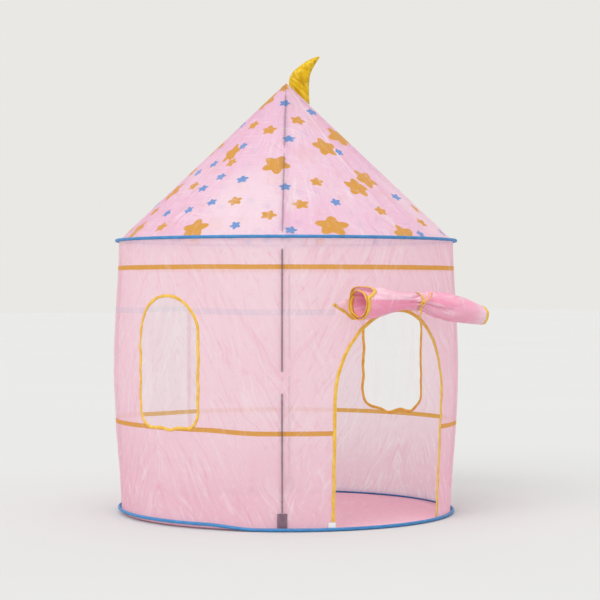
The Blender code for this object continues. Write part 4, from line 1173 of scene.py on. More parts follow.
class Look(Enum):
    """The finishes, each with the record's slot that it stands for."""

    WALL = (SheerCloth("wall_polyester", PINK, PALE_PINK, DEEP_PINK, 0.81, 0.64, Print.BANDS), "pink_polyester")
    ROOF = (
        SheerCloth(
            "roof_polyester", (0.945, 0.655, 0.85), (1.0, 0.94, 0.985), (0.86, 0.43, 0.68), 0.87, 0.62, Print.STARS,
            roughness=0.40,
        ),
        "pink_polyester",
    )
    FLAP = (
        SheerCloth(
            "flap_polyester", (1.0, 0.74, 0.87), (1.0, 0.93, 0.97), (1.0, 0.345, 0.55), 0.94, 0.24, Print.LAYERS_AND_SHADE,
            roughness=0.42,
        ),
        "pink_polyester",
    )
    SLEEVE = (SheerCloth("sleeve_polyester", PINK, PALE_PINK, DEEP_PINK, 0.30, 0.45), "pink_polyester")
    FLOOR = (
        SheerCloth(
            "floor_polyester", (1.0, 0.61, 0.74), (1.0, 0.76, 0.85), (0.90, 0.42, 0.56), 0.97, 0.10, painted_shade_share=0.2,
            painted_highlight_share=0.3,
        ),
        "floor_polyester",
    )
    NET = (Net(), "window_net")
    BLUE = (Tape("blue_tape", (0.028, 0.185, 0.45), (0.055, 0.26, 0.55), (0.12, 0.33, 0.62)), "blue_tape")
    YELLOW = (Tape("yellow_tape", (0.74, 0.40, 0.028), (0.86, 0.54, 0.075), (0.90, 0.65, 0.18), 0.42), "yellow_tape")
    SATIN = (Satin(), "yellow_satin")
    WEBBING = (Tape("dark_webbing", (0.05, 0.024, 0.04), (0.095, 0.05, 0.075), (0.18, 0.11, 0.15), 0.8), "webbing")
    TAG = (Tape("white_label", (0.86, 0.86, 0.85), (0.80, 0.80, 0.80), (0.7, 0.7, 0.7), 0.6), "window_net")
    ROD = (
        Hard("grey_fibreglass", (0.03, 0.022, 0.03), (0.06, 0.048, 0.06), 0.42, grain=(600.0, 600.0, 40.0)),
        "fibreglass_rod",
    )
    PLASTIC = (Hard("white_plastic", (0.86, 0.85, 0.83), (0.78, 0.77, 0.75), 0.38), "white_fitting")
    WIRE = (Hard("spring_steel", (0.42, 0.43, 0.45), (0.30, 0.31, 0.33), 0.34, 1.0), "spring_wire")

    @property
    def slot(self) -> str:
        """The slot's name in the record."""
        return self.value[1]

    @cached_property
    def material(self) -> Material:
        """The material, made at its first use."""
        return self.value[0].material()


def add_piece(name: str, mesh: Mesh, look: Look, body: str = TENT, replaces: Sequence[str] = ()) -> Object:
    """Puts a piece in the scene, on its body.

    Args:
        name: The piece's name.
        mesh: Its mesh, in the frame's place.
        look: Its finish.
        body: The body that it moves with.
        replaces: The frame's nodes that it stands for.

    Returns:
        The piece.
    """
    piece = put(name, mesh)
    mesh.materials.clear()
    mesh.materials.append(look.material)
    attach(piece, body)
    look.slot
    if replaces:
        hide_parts(*replaces)
    LOG.info("%s: %d faces on %s", name, len(mesh.polygons), body)
    return piece


# Openings in the wall


@dataclass(frozen=True)
class Opening:
    """An arched hole in the wall, measured along the cloth from its middle."""

    name: str
    azimuth: float
    half_width: float
    spring: float
    top: float
    bottom: float
    corner: float = 0.0
    wobble: float = 0.0

    @property
    def closed(self) -> bool:
        """Whether the hole has cloth all round."""
        return self.corner > 0.0

    def outline(self, inset: float = 0.0) -> Array:
        """The hole's edge.

        Args:
            inset: How far inside the true edge the line runs.

        Returns:
            Closely set points, across and up. A doorway's run from its left foot to its right.
        """
        reach, top = self.half_width - inset, self.top - inset
        turn = np.linspace(0.0, math.pi, 60)
        path = [np.stack([-reach * np.cos(turn), self.spring + (top - self.spring) * np.sin(turn)], axis=-1)]
        if self.closed:
            corner = self.corner - inset
            level = self.bottom + inset + corner
            for side, start in ((1.0, 0.0), (-1.0, math.pi / 2)):
                turn = start + np.linspace(0.0, math.pi / 2, 16)
                bend = [side * (reach - corner) + corner * np.cos(turn), level - corner * np.sin(turn)]
                path.append(np.stack(bend, axis=-1))
        else:
            path.insert(0, np.array([[-reach, self.bottom]]))
            path.append(np.array([[reach, self.bottom]]))
        points = resample(np.vstack(path), 0.004, self.closed)
        seed = 10.0 * self.azimuth
        shift = noise_at(points[:, 0] / 0.05 + seed, points[:, 1] / 0.05, 3.0)
        lower = smoothstep(self.spring, self.bottom + 0.02, points[:, 1]) if self.closed else 0.25
        away = points - np.array([0.0, (self.top + self.bottom) / 2])
        away = away / np.linalg.norm(away, axis=1, keepdims=True)
        return points + away * (shift * self.wobble * (0.35 + 0.65 * lower))[:, None]


DOOR = Opening("door", 0.0, 0.203, 0.360, 0.615, 0.010, wobble=0.003)
LEFT_WINDOW = Opening("left_window", math.radians(-80.2), 0.118, 0.545, 0.660, 0.282, 0.050, 0.009)
BACK_WINDOW = Opening("back_window", math.radians(98.1), 0.124, 0.545, 0.660, 0.282, 0.068, 0.011)
WINDOWS = (LEFT_WINDOW, BACK_WINDOW)


def inward_steps(path: Array, closed: bool) -> Array:
    """Unit steps into an opening.

    Args:
        path: Points of its edge.
        closed: Whether they join up.

    Returns:
        A step for each point.
    """
    along = frames_along(path, closed)
    across = np.stack([-along[:, 1], along[:, 0]], axis=-1)
    middle = np.array([0.0, path[:, 1].mean()])
    flip = np.sign(((middle - path) * across).sum(-1, keepdims=True))
    return across * flip


@dataclass
class WallCloth:
    """The wall: one strip of cloth, closed by a seam at the back."""

    columns: int = 576
    rows: int = 148
    depth: float = 0.0006

    def build(self) -> Object:
        """Makes the wall, cut round its openings."""
        azimuth = np.linspace(-math.pi, math.pi, self.columns + 1)
        share = np.linspace(0.0, 1.0, self.rows + 1)
        azimuth, share = np.meshgrid(azimuth, share, indexing="ij")
        bottom = FORM.wall_bottom + FORM.rim_lift(azimuth)
        z = bottom + (FORM.wall_top - bottom) * share
        keep = np.ones((self.columns, self.rows), bool)
        for opening in (DOOR, *WINDOWS):
            azimuth, z, keep = self.cut(opening, azimuth, z, keep)
        share = FORM.wall_share(azimuth, z)
        height = share * FORM.wall_height
        maps = {
            "cloth": np.stack([azimuth * FORM.mean_radius, height], axis=-1),
            "pull": np.stack(FORM.pull(azimuth, height), axis=-1),
            "turn": np.stack([(azimuth - FORM.first_rod) / (math.pi / 2), height], axis=-1),
        }
        patch = grid_patch(FORM.wall(azimuth, share, self.depth), maps, keep, wrap=True)
        return add_piece("wall", patch.mesh("wall"), Look.WALL, replaces=["wall_cloth"])

    def cut(self, opening: Opening, azimuth: Array, z: Array, keep: Array) -> tuple[Array, Array, Array]:
        """Opens a hole and pulls the cells round it to its edge.

        Args:
            opening: The hole.
            azimuth: Azimuths by column and row.
            z: Heights by column and row.
            keep: Which cells are kept so far.

        Returns:
            The azimuths, the heights and the kept cells.
        """
        outline = opening.outline()
        edge = outline if opening.closed else np.vstack([outline, [[outline[-1, 0], -0.1], [outline[0, 0], -0.1]]])
        across = wrap_angle(azimuth - opening.azimuth) * FORM.mean_radius
        middle = cell_middles(azimuth, z)
        hole = inside(wrap_angle(middle[0] - opening.azimuth) * FORM.mean_radius, middle[1], edge)
        kept = keep & ~hole
        rim = cut_points(kept, hole)
        dense = resample(edge, 0.0008, True)
        moved_across, moved_z = snap_to(across[rim], z[rim], dense)
        azimuth, z = azimuth.copy(), z.copy()
        z[rim] = np.maximum(moved_z, FORM.wall_bottom)
        azimuth[rim] = opening.azimuth + moved_across / FORM.mean_radius
        return azimuth, z, kept


@dataclass
class Bindings:
    """Yellow tape folded over the edges of the doorway and the windows."""

    width: float = 0.0085
    thickness: float = 0.0011

    def section(self, both: bool) -> Array:
        """The tape's section.

        Args:
            both: Whether it reaches as far into the opening, onto the net, as onto the cloth.

        Returns:
            Places into the opening and depths below the wall's face.
        """
        top, low = -self.thickness, FORM.cloth + self.thickness
        reach = self.width / 2 if both else self.width
        near = [(-reach, top * 0.55), (-reach * 0.45, top * 1.05)]
        nose = reach if both else 0.0014
        tip = [(nose * 0.45, top), (nose, top * 0.4), (nose * 1.06, (top + low) / 2), (nose, low + top * 0.4)]
        under = [(nose * 0.45, low), (-reach * 0.45, low), (-reach, low - self.thickness * 0.4)]
        return np.array(near + tip + under)

    def build(self, opening: Opening) -> Object:
        """Binds an opening's edge.

        Args:
            opening: The opening.

        Returns:
            Its tape.
        """
        edge = opening.outline()
        steps = inward_steps(edge, opening.closed)
        section = self.section(opening.closed)
        sway = noise_at(edge[:, 0] / 0.03, edge[:, 1] / 0.03, 11.0 + opening.azimuth)
        fat = 1.0 + 0.22 * noise_at(edge[:, 0] / 0.025, edge[:, 1] / 0.025, 21.0)
        rings = []
        for into, depth in section:
            place = edge + steps * (into * fat + 0.0006 * sway)[:, None]
            rings.append(FORM.on_wall(opening.azimuth, place[:, 0], place[:, 1], depth - 0.0004 * sway))
        rings = np.stack(rings, axis=1)
        name = f"{opening.name}_binding"
        mesh = swept_mesh(name, rings, opening.closed)
        return add_piece(f"{opening.name}_tape", mesh, Look.YELLOW, replaces=[name])


@dataclass
class Nets:
    """Window nets, sewn in behind the tape."""

    step: float = 0.006
    depth: float = 0.0006
    slack: float = 0.0035

    def build(self, opening: Opening) -> Object:
        """Makes a window's net.

        Args:
            opening: The window.

        Returns:
            The net.
        """
        outline = opening.outline(inset=0.0008)
        low, high = outline.min(0) - self.step, outline.max(0) + self.step
        counts = np.ceil((high - low) / self.step).astype(int)
        across, up = np.meshgrid(*(np.linspace(low[i], high[i], counts[i] + 1) for i in (0, 1)), indexing="ij")
        keep = inside(*cell_middles(across, up), outline)
        rim = cut_points(keep, ~keep)
        across[rim], up[rim] = snap_to(across[rim], up[rim], resample(outline, 0.0008, True))
        gap = np.sqrt((across[..., None] - outline[:, 0]) ** 2 + (up[..., None] - outline[:, 1]) ** 2).min(-1)
        folds = noise_at(across / 0.03 + up / 0.15, up / 0.12, 5.0 + opening.azimuth)
        depth = self.depth + smoothstep(0.004, 0.05, gap) * (self.slack * (0.6 + folds))
        points = FORM.on_wall(opening.azimuth, across, up, depth)
        flat = np.stack([across, up], axis=-1)
        mesh = grid_patch(points, {"cloth": flat, "pull": flat}, keep).mesh(f"{opening.name}_net")
        net = add_piece(f"{opening.name}_mesh", mesh, Look.NET, replaces=[f"{opening.name}_net"])
        return net


# Roof


@dataclass(frozen=True)
class Star:
    """One printed star: where it is, its reach, its turn, whether it is blue, and how wide it is for its height."""

    azimuth: float
    share: float
    reach: float
    turn: float
    blue: bool
    wide: float = 1.0


BIG, MIDDLE, SMALL = 0.0430, 0.0205, 0.0165
# Azimuth in degrees, share of the roof, turn in degrees and width for its height, as the photograph shows them
SEEN_BIG_STARS = (
    (-113.5, 0.880, 10, 0.8), (-5.2, 0.575, 20, 1.0), (29.5, 0.651, 35, 1.6), (-44.3, 0.443, -10, 1.0),
    (-1.8, 0.312, 5, 1.0), (10.5, 0.376, 40, 1.0), (-70.8, 0.048, 25, 1.0), (-22.5, 0.061, 12, 1.2),
    (-83.0, 0.540, 30, 0.62), (-105.5, 0.055, 15, 0.8), (-111.0, 0.300, 0, 0.8), (5.2, 0.020, 30, 1.0),
)
SEEN_MIDDLE_STARS = (
    (-22.5, 0.741, 0, 1.2), (-84.5, 0.724, 20, 1.0), (-56.2, 0.677, 15, 1.2), (-76.8, 0.478, 5, 0.9),
    (-93.2, 0.333, 25, 1.1), (-60.0, 0.218, 40, 1.1), (-23.2, 0.335, 10, 1.0), (-32.5, 0.191, 30, 1.2),
    (-44.8, 0.126, 0, 1.2), (-88.0, 0.066, 20, 1.1), (2.2, 0.166, 15, 1.1), (50.0, 0.373, 35, 1.4),
    (33.5, 0.195, 5, 1.3), (23.0, 0.102, 25, 1.2), (-108.5, 0.178, 10, 1.0), (-62.0, 0.968, 0, 0.8),
)
SEEN_SMALL_STARS = (
    (-41.2, 0.857, 0, 1.1), (19.5, 0.811, 10, 1.6), (-35.8, 0.613, 20, 1.2), (-76.5, 0.584, 30, 0.9),
    (-93.8, 0.476, 40, 1.1), (-103.8, 0.422, 5, 1.0), (-76.8, 0.386, 15, 1.1), (-61.3, 0.356, 25, 1.2),
    (-83.2, 0.312, 35, 1.1), (-71.0, 0.215, 45, 1.0), (-80.8, 0.173, 50, 1.0), (-93.2, 0.155, 12, 1.0),
    (-38.8, 0.301, 22, 1.1), (-17.5, 0.211, 32, 1.0), (23.0, 0.264, 42, 1.4), (-56.0, 0.067, 52, 1.0),
    (-36.8, 0.035, 2, 1.1), (13.5, 0.024, 14, 1.0), (6.5, 0.549, 24, 1.0), (45.8, 0.263, 34, 1.0),
    (35.0, 0.043, 44, 1.2),
)


@dataclass
class RoofCloth:
    """The roof: one cone of cloth with a printed pattern of stars."""

    columns: int = 528
    rows: int = 112
    depth: float = 0.0006
    tries: int = 1500
    big_tries: int = 60
    apart: float = 0.022
    big_apart: float = 0.055

    def flat(self, azimuth: Array, share: Array, about: float = 0.0) -> Array:
        """Places on the cone rolled out flat, from its apex."""
        run = (1.0 - share) * FORM.slant
        turn = (azimuth - about) * FORM.roof_radius / FORM.slant
        return np.stack([run * np.sin(turn), run * np.cos(turn)], axis=-1)

    def stars(self) -> list[Star]:
        """The stars in view, and more of the same spacing round the back."""
        made = []
        for table, reach, blue in (
            (SEEN_BIG_STARS, BIG, False),
            (SEEN_MIDDLE_STARS, MIDDLE, False),
            (SEEN_SMALL_STARS, SMALL, True),
        ):
            for azimuth, share, turn, wide in table:
                made.append(Star(math.radians(azimuth), share, reach, math.radians(turn), blue, wide))
        dice = random.Random(5)
        for attempt in range(self.tries):
            azimuth, share = dice.uniform(56.0, 246.0), 1.0 - math.sqrt(dice.uniform(0.01, 1.0))
            reach, blue = dice.choice(((MIDDLE, False), (SMALL, True)))
            apart = self.apart
            if attempt < self.big_tries:
                reach, blue, apart = BIG, False, self.big_apart
            star = Star(math.radians(azimuth), share, reach, dice.uniform(0.0, 1.2), blue)
            if all(self.gap(star, other) > reach + other.reach + apart for other in made):
                made.append(star)
        return made

    def gap(self, one: Star, other: Star) -> float:
        """Distance between two stars' middles along the cloth."""
        away = (one.azimuth - other.azimuth + math.pi) % (2 * math.pi) - math.pi
        turn = away * FORM.roof_radius / FORM.slant
        a, b = (1.0 - one.share) * FORM.slant, (1.0 - other.share) * FORM.slant
        return math.sqrt(max(a * a + b * b - 2 * a * b * math.cos(turn), 0.0))

    def print_places(self, azimuth: Array, share: Array, corners: Array) -> Array:
        """Each face corner's place about the star nearest its face.

        Args:
            azimuth: Azimuths of the corners, by face.
            share: Shares of the corners, by face.
            corners: How many corners there are, as faces by corners.

        Returns:
            Places in units of the star's reach, with 1 as the third number where it is blue.
        """
        best = np.full(len(azimuth), 1e9)
        places = np.full((len(azimuth), corners, 3), 9.0)
        for star in self.stars():
            away = wrap_angle(azimuth - star.azimuth)
            away = away - away.mean(1, keepdims=True) + wrap_angle(away.mean(1, keepdims=True))
            local = self.flat(away, share) - self.flat(np.array(0.0), np.array(star.share))
            local = local / (star.reach * np.array([star.wide, 1.0]))
            near = np.linalg.norm(local.mean(1), axis=-1)
            better = near < best
            best[better] = near[better]
            c, s = math.cos(star.turn), math.sin(star.turn)
            x, y = local[better, :, 0], local[better, :, 1]
            kind = np.full(x.shape, 1.0 if star.blue else 0.0)
            places[better] = np.stack([c * x - s * y, s * x + c * y, kind], axis=-1)
        return places

    def build(self) -> Object:
        """Makes the roof."""
        start = ROOF_SEAM
        azimuth = start + np.linspace(0.0, 2 * math.pi, self.columns + 1)
        share = np.concatenate([np.linspace(0.0, 0.985, self.rows), [1.0]])
        azimuth, share = np.meshgrid(azimuth, share, indexing="ij")
        run = (1.0 - share) * FORM.slant
        mean_turn = (azimuth - start - math.pi) * FORM.roof_radius
        maps = {
            "cloth": self.flat(azimuth, share, start + math.pi),
            "pull": np.stack([mean_turn, run * 0.7], axis=-1),
            "turn": np.stack([(azimuth - FORM.first_rod) / (math.pi / 2), run], axis=-1),
        }
        patch = grid_patch(FORM.roof(azimuth, share, self.depth), maps, wrap=True)
        apex = Vector(patch.points[self.rows])
        mesh = patch.mesh("roof")
        width = self.rows + 1
        faces = patch.faces
        column, row = faces // width, faces % width
        column = np.where((column == 0) & (column[:, :1] == self.columns - 1), self.columns, column)
        places = self.print_places(azimuth[column, row], share[column, row], 4)
        layer = mesh.attributes.new("star_place", "FLOAT_VECTOR", "CORNER")
        layer.data.foreach_set("vector", places.astype(np.float32).ravel())
        with opened(mesh) as bm:
            tip = [vert for vert in bm.verts if (vert.co - apex).length < 1e-4]
            bmesh.ops.pointmerge(bm, verts=tip, merge_co=apex)
            bmesh.ops.dissolve_degenerate(bm, edges=bm.edges, dist=1e-7)
        roof = add_piece("roof", mesh, Look.ROOF, replaces=["roof_cloth"])
        return roof


# Floor


@dataclass
class FloorCloth:
    """The floor: a round sheet that turns up to the lower seam."""

    columns: int = 432
    rows: int = 90
    rim_radius: float = 0.5005
    rim: float = 0.00445
    least: float = 0.0006
    folds: float = 0.0030
    crumples: float = 0.0012
    swells: float = 0.0010
    flat_end: Span = (0.93, 0.985)
    climb: Span = (0.968, 1.0)

    def build(self) -> Object:
        """Makes the floor."""
        azimuth = np.linspace(0.0, 2 * math.pi, self.columns + 1)
        share = np.linspace(0.004, 1.0, self.rows + 1)
        azimuth, share = np.meshgrid(azimuth, share, indexing="ij")
        x, y = share * np.sin(azimuth) * self.rim_radius, share * np.cos(azimuth) * self.rim_radius
        fold = ridge(noise_at(x / 0.09, y / 0.13, 2.0), 0.28) * smoothstep(-0.2, 0.3, noise_at(x / 0.2, y / 0.2, 8.0))
        crumple = ridge(noise_at(x / 0.05, y / 0.05, 5.0), 0.2)
        lump = self.least + self.folds * fold + self.crumples * crumple
        lump = lump + self.swells * (1 + noise_at(x / 0.11, y / 0.11, 1.0))
        flat_part = 1.0 - smoothstep(*self.flat_end, share)
        lift, climb = FORM.rim_lift(azimuth), smoothstep(*self.climb, share)
        z = lump * flat_part + self.least + climb * (self.rim + lift - 0.0036)
        radius = share * self.rim_radius + 0.0065 * climb + 0.0055 * np.sin(np.pi * climb) * lift / FORM.lift
        flat = np.stack([x, y], axis=-1)
        maps = {"cloth": flat, "pull": np.stack([x + y, x - y], axis=-1)}
        patch = grid_patch(polar(radius, azimuth, z), maps, wrap=True)
        mesh = patch.mesh("floor_cloth")
        with opened(mesh) as bm:
            hole = [edge for edge in bm.edges if edge.is_boundary and edge.verts[0].co.xy.length < 0.1]
            bmesh.ops.holes_fill(bm, edges=hole)
            bmesh.ops.recalc_face_normals(bm, faces=bm.faces)
        floor = add_piece("floor_cloth", mesh, Look.FLOOR, replaces=["floor_sheet"])
        return floor


# Hoops


@dataclass
class HoopTape:
    """Blue tape folded over one sprung hoop and stitched to the cloth beside it."""

    name: str
    radius: float
    height: float
    leg: float
    lifted: bool
    size: float = 0.0048
    steps: int = 560

    def build(self) -> Object:
        """Makes the tape as a drop-shaped tube round the tent."""
        azimuth = full_turn(self.steps)
        turn = full_turn(16)
        out, up = np.cos(turn), np.sin(turn)
        neck = np.clip(-out, 0.0, 1.0) ** 2
        x, y = np.sin(azimuth), np.cos(azimuth)
        sway = 0.0005 * noise_at(x / 0.09, y / 0.09, 3.0)
        fat = 1.0 + 0.08 * noise_at(x / 0.05, y / 0.05, 6.0) + 0.05 * noise_at(x / 0.016, y / 0.016, 9.0)
        lift = FORM.rim_lift(azimuth) if self.lifted else np.zeros_like(azimuth)
        size = self.size * fat[:, None]
        reach = self.radius + sway[:, None] + size * out - neck * self.leg
        rise = np.minimum(size * up * (1.0 - 0.55 * neck), self.size * 1.1)
        z = self.height + lift[:, None] + rise
        mesh = swept_mesh(f"{self.name}_tape", polar(reach, azimuth[:, None], np.maximum(z, 0.0004)), closed=True)
        replaces = [f"{self.name}_binding"]
        return add_piece(f"{self.name}_tape", mesh, Look.BLUE, replaces=replaces)


# Rod sleeves and pockets


@dataclass
class RodCloths:
    """The cloth channels and webbing pockets that hold the rods."""

    half_width: float = 0.0135
    rod_depth: float = 0.0062
    channel: float = 0.0049
    hem: float = 0.0019
    wall_low: float = 0.066
    wall_high: float = 0.805
    roof_low: float = 0.03
    roof_high: float = 0.87
    pocket_half: Span = (0.0148, 0.0038)

    def section(self) -> Array:
        """Distances across the cloth and depths below its face."""
        turn = np.linspace(math.radians(200.0), math.radians(-20.0), 15)
        arc = np.stack([self.channel * np.cos(turn), self.rod_depth + self.channel * np.sin(turn)], axis=-1)
        left = np.array([(-self.half_width, self.hem), (-0.0095, self.hem), (-0.0066, self.hem + 0.0008)])
        return np.vstack([left, arc, left[::-1] * np.array([-1.0, 1.0])])

    def sleeve(self, rod: int, roof: bool) -> Object:
        """Makes one channel.

        Args:
            rod: The rod's number.
            roof: Whether it lies on the roof and not on the wall.

        Returns:
            The channel's cloth.
        """
        azimuth = FORM.rod_azimuth(rod)
        section = self.section()
        if roof:
            share = np.linspace(self.roof_low, self.roof_high, 70)
            radius = FORM.roof_radius * (1.0 - share)
            rows = [FORM.roof(azimuth + side / radius, share, depth) for side, depth in section]
            along = share * FORM.slant
        else:
            z = np.linspace(self.wall_low + float(FORM.rim_lift(azimuth)), self.wall_high, 110)
            rows = [FORM.on_wall(azimuth, np.full(z.shape, side), z, depth) for side, depth in section]
            along = z
        points = np.stack(rows, axis=0)
        flat = np.stack(np.broadcast_arrays(section[:, :1] + 0.0 * along, along[None, :]), axis=-1)
        name = f"{'roof' if roof else 'wall'}_sleeve_{rod}"
        mesh = grid_patch(points, {"cloth": flat, "pull": flat}).mesh(f"{name}_cloth")
        return add_piece(f"{name}_cloth", mesh, Look.SLEEVE, replaces=[name])

    def pocket(self, rod: int) -> Object:
        """Makes one foot pocket: a flat bag of webbing, open above.

        Args:
            rod: The rod's number.

        Returns:
            The pocket.
        """
        low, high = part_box(f"foot_pocket_{rod}")
        azimuth = FORM.rod_azimuth(rod)
        heights = np.linspace(low.z + 0.0004, high.z - 0.0002, 12)
        turn = full_turn(28)
        side = np.sign(np.cos(turn)) * np.abs(np.cos(turn)) ** 0.35 * self.pocket_half[0]
        deep = np.sign(np.sin(turn)) * np.abs(np.sin(turn)) ** 0.6 * self.pocket_half[1]
        rings = []
        for index, z in enumerate(heights):
            pinch = 1.0 if index else 0.96
            lean = FORM.on_wall(azimuth, np.array(0.0), np.array(z), self.rod_depth)
            rings.append(polar(np.hypot(lean[0], lean[1]) - deep * pinch, azimuth + side * pinch / 0.5, z))
        mesh = swept_mesh(f"pocket_{rod}", np.stack(rings), closed=False, capped=False)
        name = f"foot_pocket_{rod}"
        return add_piece(f"{name}_webbing", mesh, Look.WEBBING, replaces=[name])

    def build(self) -> list[Object]:
        """Makes the channels and pockets of all the rods."""
        made = []
        for rod in RODS:
            made += [self.sleeve(rod, roof=False), self.sleeve(rod, roof=True), self.pocket(rod)]
        return made


@dataclass
class HemTag:
    """The blank white label in the hem beside the doorway."""

    azimuth: float = math.radians(-23.6)
    half_width: float = 0.0105
    low: float = 0.0095
    high: float = 0.0250

    def build(self) -> Object:
        """Makes the label, hanging just outside the wall."""
        across, z = np.meshgrid(
            np.linspace(-self.half_width, self.half_width, 9), np.linspace(self.low, self.high, 7), indexing="ij"
        )
        depth = -0.0016 - 0.0009 * np.sin(across / self.half_width * 1.4) - 0.0008 * (self.high - z) / 0.015
        points = FORM.on_wall(self.azimuth, across, z, depth)
        flat = np.stack([across, z], axis=-1)
        mesh = grid_patch(points, {"cloth": flat, "pull": flat}).mesh("hem_label")
        return add_piece("hem_label", mesh, Look.TAG)


# Rolled door flap


@dataclass
class DoorRoll:
    """The door flap, rolled up and tied above the doorway."""

    tie_x: float = 0.021
    roll_y: float = -0.570022
    roll_z: float = 0.643
    seam_y: float = -0.515522
    seam_z: float = 0.619
    seam_half: float = 0.045
    radius: float = 0.050
    left_reach: float = 0.220
    right_reach: float = 0.253
    droop: float = 0.043
    turns: float = 2.1
    first_angle: float = math.radians(12.0)
    stations: int = 150
    rows: int = 190
    web_rows: int = 10
    tape_width: float = 0.0095
    tape_thickness: float = 0.0011
    cut: Span = (0.56, 0.62)
    pinch: float = 0.062
    pleats: Span = (0.0012, 0.0088)
    crumples: float = 0.0020
    swells: float = 0.0040
    groove: float = 0.008
    ledge: float = 0.0045
    # Share of the reach to its side, share of the radius, share of the droop
    along_shares: tuple = (
        (-1.0, 0.97, 0.15), (-0.86, 0.97, 0.14), (-0.74, 0.98, 0.14), (-0.49, 0.80, 0.09), (-0.22, 0.56, 0.03),
        (0.0, 0.46, 0.0), (0.08, 0.52, 0.04), (0.18, 0.80, 0.17), (0.50, 0.92, 0.44), (0.78, 0.80, 0.74),
        (0.93, 0.68, 0.92), (1.0, 0.58, 1.0),
    )
    # Angle round the roll in degrees, and how far the left edge is set back there
    left_edge: tuple = (
        (-40.0, 0.030), (12.0, 0.012), (60.0, 0.0), (84.0, 0.012), (106.0, 0.034), (124.0, 0.036), (140.0, 0.020),
        (154.0, 0.0), (2000.0, 0.0),
    )

    def soft_table(self, side: Array, column: int) -> Array:
        """A column of the station table, rounded between its rows."""
        table = np.array(self.along_shares)
        spread = np.linspace(-0.05, 0.05, 9)
        taps = [np.interp(np.clip(side + step, -1.0, 1.0), table[:, 0], table[:, column]) for step in spread]
        return np.mean(taps, axis=0)

    def surface(self, side: Array, row: Array) -> Array:
        """Points of the flap.

        Args:
            side: Places along the roll, from -1 at its left end to 1.
            row: Shares of the cloth, below 0 in the web from the seam, -1, to the roll, 0, and then to 1.

        Returns:
            The points.
        """
        turn = np.clip(row, 0.0, 1.0)
        angle = self.first_angle + 2 * math.pi * self.turns * turn
        degrees = np.degrees(angle) + np.minimum(row, 0.0) * 50.0
        shift = np.interp(degrees, *np.array(self.left_edge).T)
        shift = shift * np.clip((-side - 0.38) / 0.62, 0.0, 1.0) ** 1.6
        right = 0.006 * np.cos(angle - math.pi) * np.clip((side - 0.7) / 0.3, 0.0, 1.0)
        x = self.tie_x + np.where(side < 0, self.left_reach, self.right_reach) * side + shift + right
        full = self.radius * self.soft_table(side, 1)
        left_end = np.clip((-side - 0.3) / 0.7, 0.0, 1.0)
        core = 0.42 + 0.26 * left_end
        reach = full * (1.0 - (1.0 - core) * turn)
        ledge = smoothstep(math.radians(160.0), math.radians(172.0), angle) * smoothstep(-0.02, -0.2, side)
        reach = reach - self.ledge * ledge * (1.0 - 0.5 * left_end)
        reach = reach + self.folds(x, angle) * np.clip(reach / np.maximum(full, 1e-6), 0.3, 1.0)
        y = self.roll_y + reach * np.cos(angle)
        z = self.roll_z - self.droop * self.soft_table(side, 2) + reach * np.sin(angle)
        y = np.minimum(y, self.seam_y - 0.0012)
        rolled = np.stack(np.broadcast_arrays(x, y, z), axis=-1)
        seam = np.stack(np.broadcast_arrays(side * self.seam_half, self.seam_y, self.seam_z + 0 * side), axis=-1)
        share = np.clip(row + 1.0, 0.0, 1.0)[..., None]
        web = seam + (rolled - seam) * share
        web[..., 1] -= (0.004 * np.sin(np.pi * share) * (1 - share))[..., 0]
        return np.where(row[..., None] < 0.0, web, rolled)

    def wave(self, x: Array, angle: Array) -> Array:
        """The pleats' wave round the roll, 0 in their valleys."""
        wander = noise_at(x / 0.06, np.sin(angle) * 1.5, np.cos(angle) * 1.5)
        return np.abs(np.sin(3.5 * angle + 2.6 * wander + 0.8))

    def folds(self, x: Array, angle: Array) -> Array:
        """How far the cloth's pleats and creases stand out.

        Args:
            x: Places along the roll.
            angle: Angles round it.

        Returns:
            Outward steps, pleated near the tie and soft away from it.
        """
        near = np.exp(-np.abs((x - self.tie_x) / self.pinch) ** 1.5)
        crumple = noise_at(x / 0.030, np.sin(angle) * 1.7 + 5.0, np.cos(angle) * 1.7)
        broad = noise_at(x / 0.11 + 4.0, np.sin(angle) * 0.9, np.cos(angle) * 0.9)
        least, most = self.pleats
        size = (least + most * near) * (self.wave(x, angle) ** 0.7 - 0.6) + self.crumples * crumple * (1 - 0.5 * near)
        groove = np.exp(-((np.degrees(angle) - 188.0) % 360.0 / 22.0) ** 2)
        groove = groove * np.exp(-(((x - self.tie_x - 0.055) / 0.045) ** 2)) * (x > self.tie_x)
        return size + self.swells * broad * (1 - near) - self.groove * groove

    def grid(self) -> tuple[Array, Array]:
        """Places along the roll and rows of cloth, set closer near the tie."""
        side = np.linspace(-1.0, 1.0, self.stations + 1)
        side = side * (0.72 + 0.28 * np.abs(side))
        web = np.linspace(-1.0, 0.0, self.web_rows, endpoint=False)
        row = np.concatenate([web, np.linspace(0.0, 1.0, self.rows + 1)])
        return np.meshgrid(side, row, indexing="ij")

    def layers_and_shade_mask(self, side: Array, row: Array) -> Array:
        """How deep the cloth's colour is: deeper where the roll lies double, on its right part and below its ledge,
        with painted shade in its groove and in the pleats' valleys near the tie.

        Args:
            side: Places along the roll, from -1 to 1.
            row: Shares of the cloth, as for surface().

        Returns:
            Shares of the deep colour.
        """
        degrees = np.degrees(self.first_angle) + 360.0 * self.turns * np.clip(row, 0.0, 1.0)
        left = smoothstep(160.0, 168.0, degrees) * (1.0 - 0.5 * smoothstep(215.0, 250.0, degrees))
        left = 0.20 + 0.75 * left * smoothstep(0.02, -0.15, side)
        # Painted shade in the groove right of the tie
        groove = np.exp(-(((degrees - 168.0) / 20.0) ** 2)) * smoothstep(0.55, 0.30, side)
        right = 0.62 + 0.35 * groove - 0.50 * smoothstep(0.70, 0.95, side)
        layers_and_shade = np.where(side < 0.0, left, left + (right - left) * smoothstep(0.0, 0.08, side))
        # Painted shade in the pleats' valleys near the tie
        return np.maximum(layers_and_shade, 1.15 * self.valley(side, degrees))

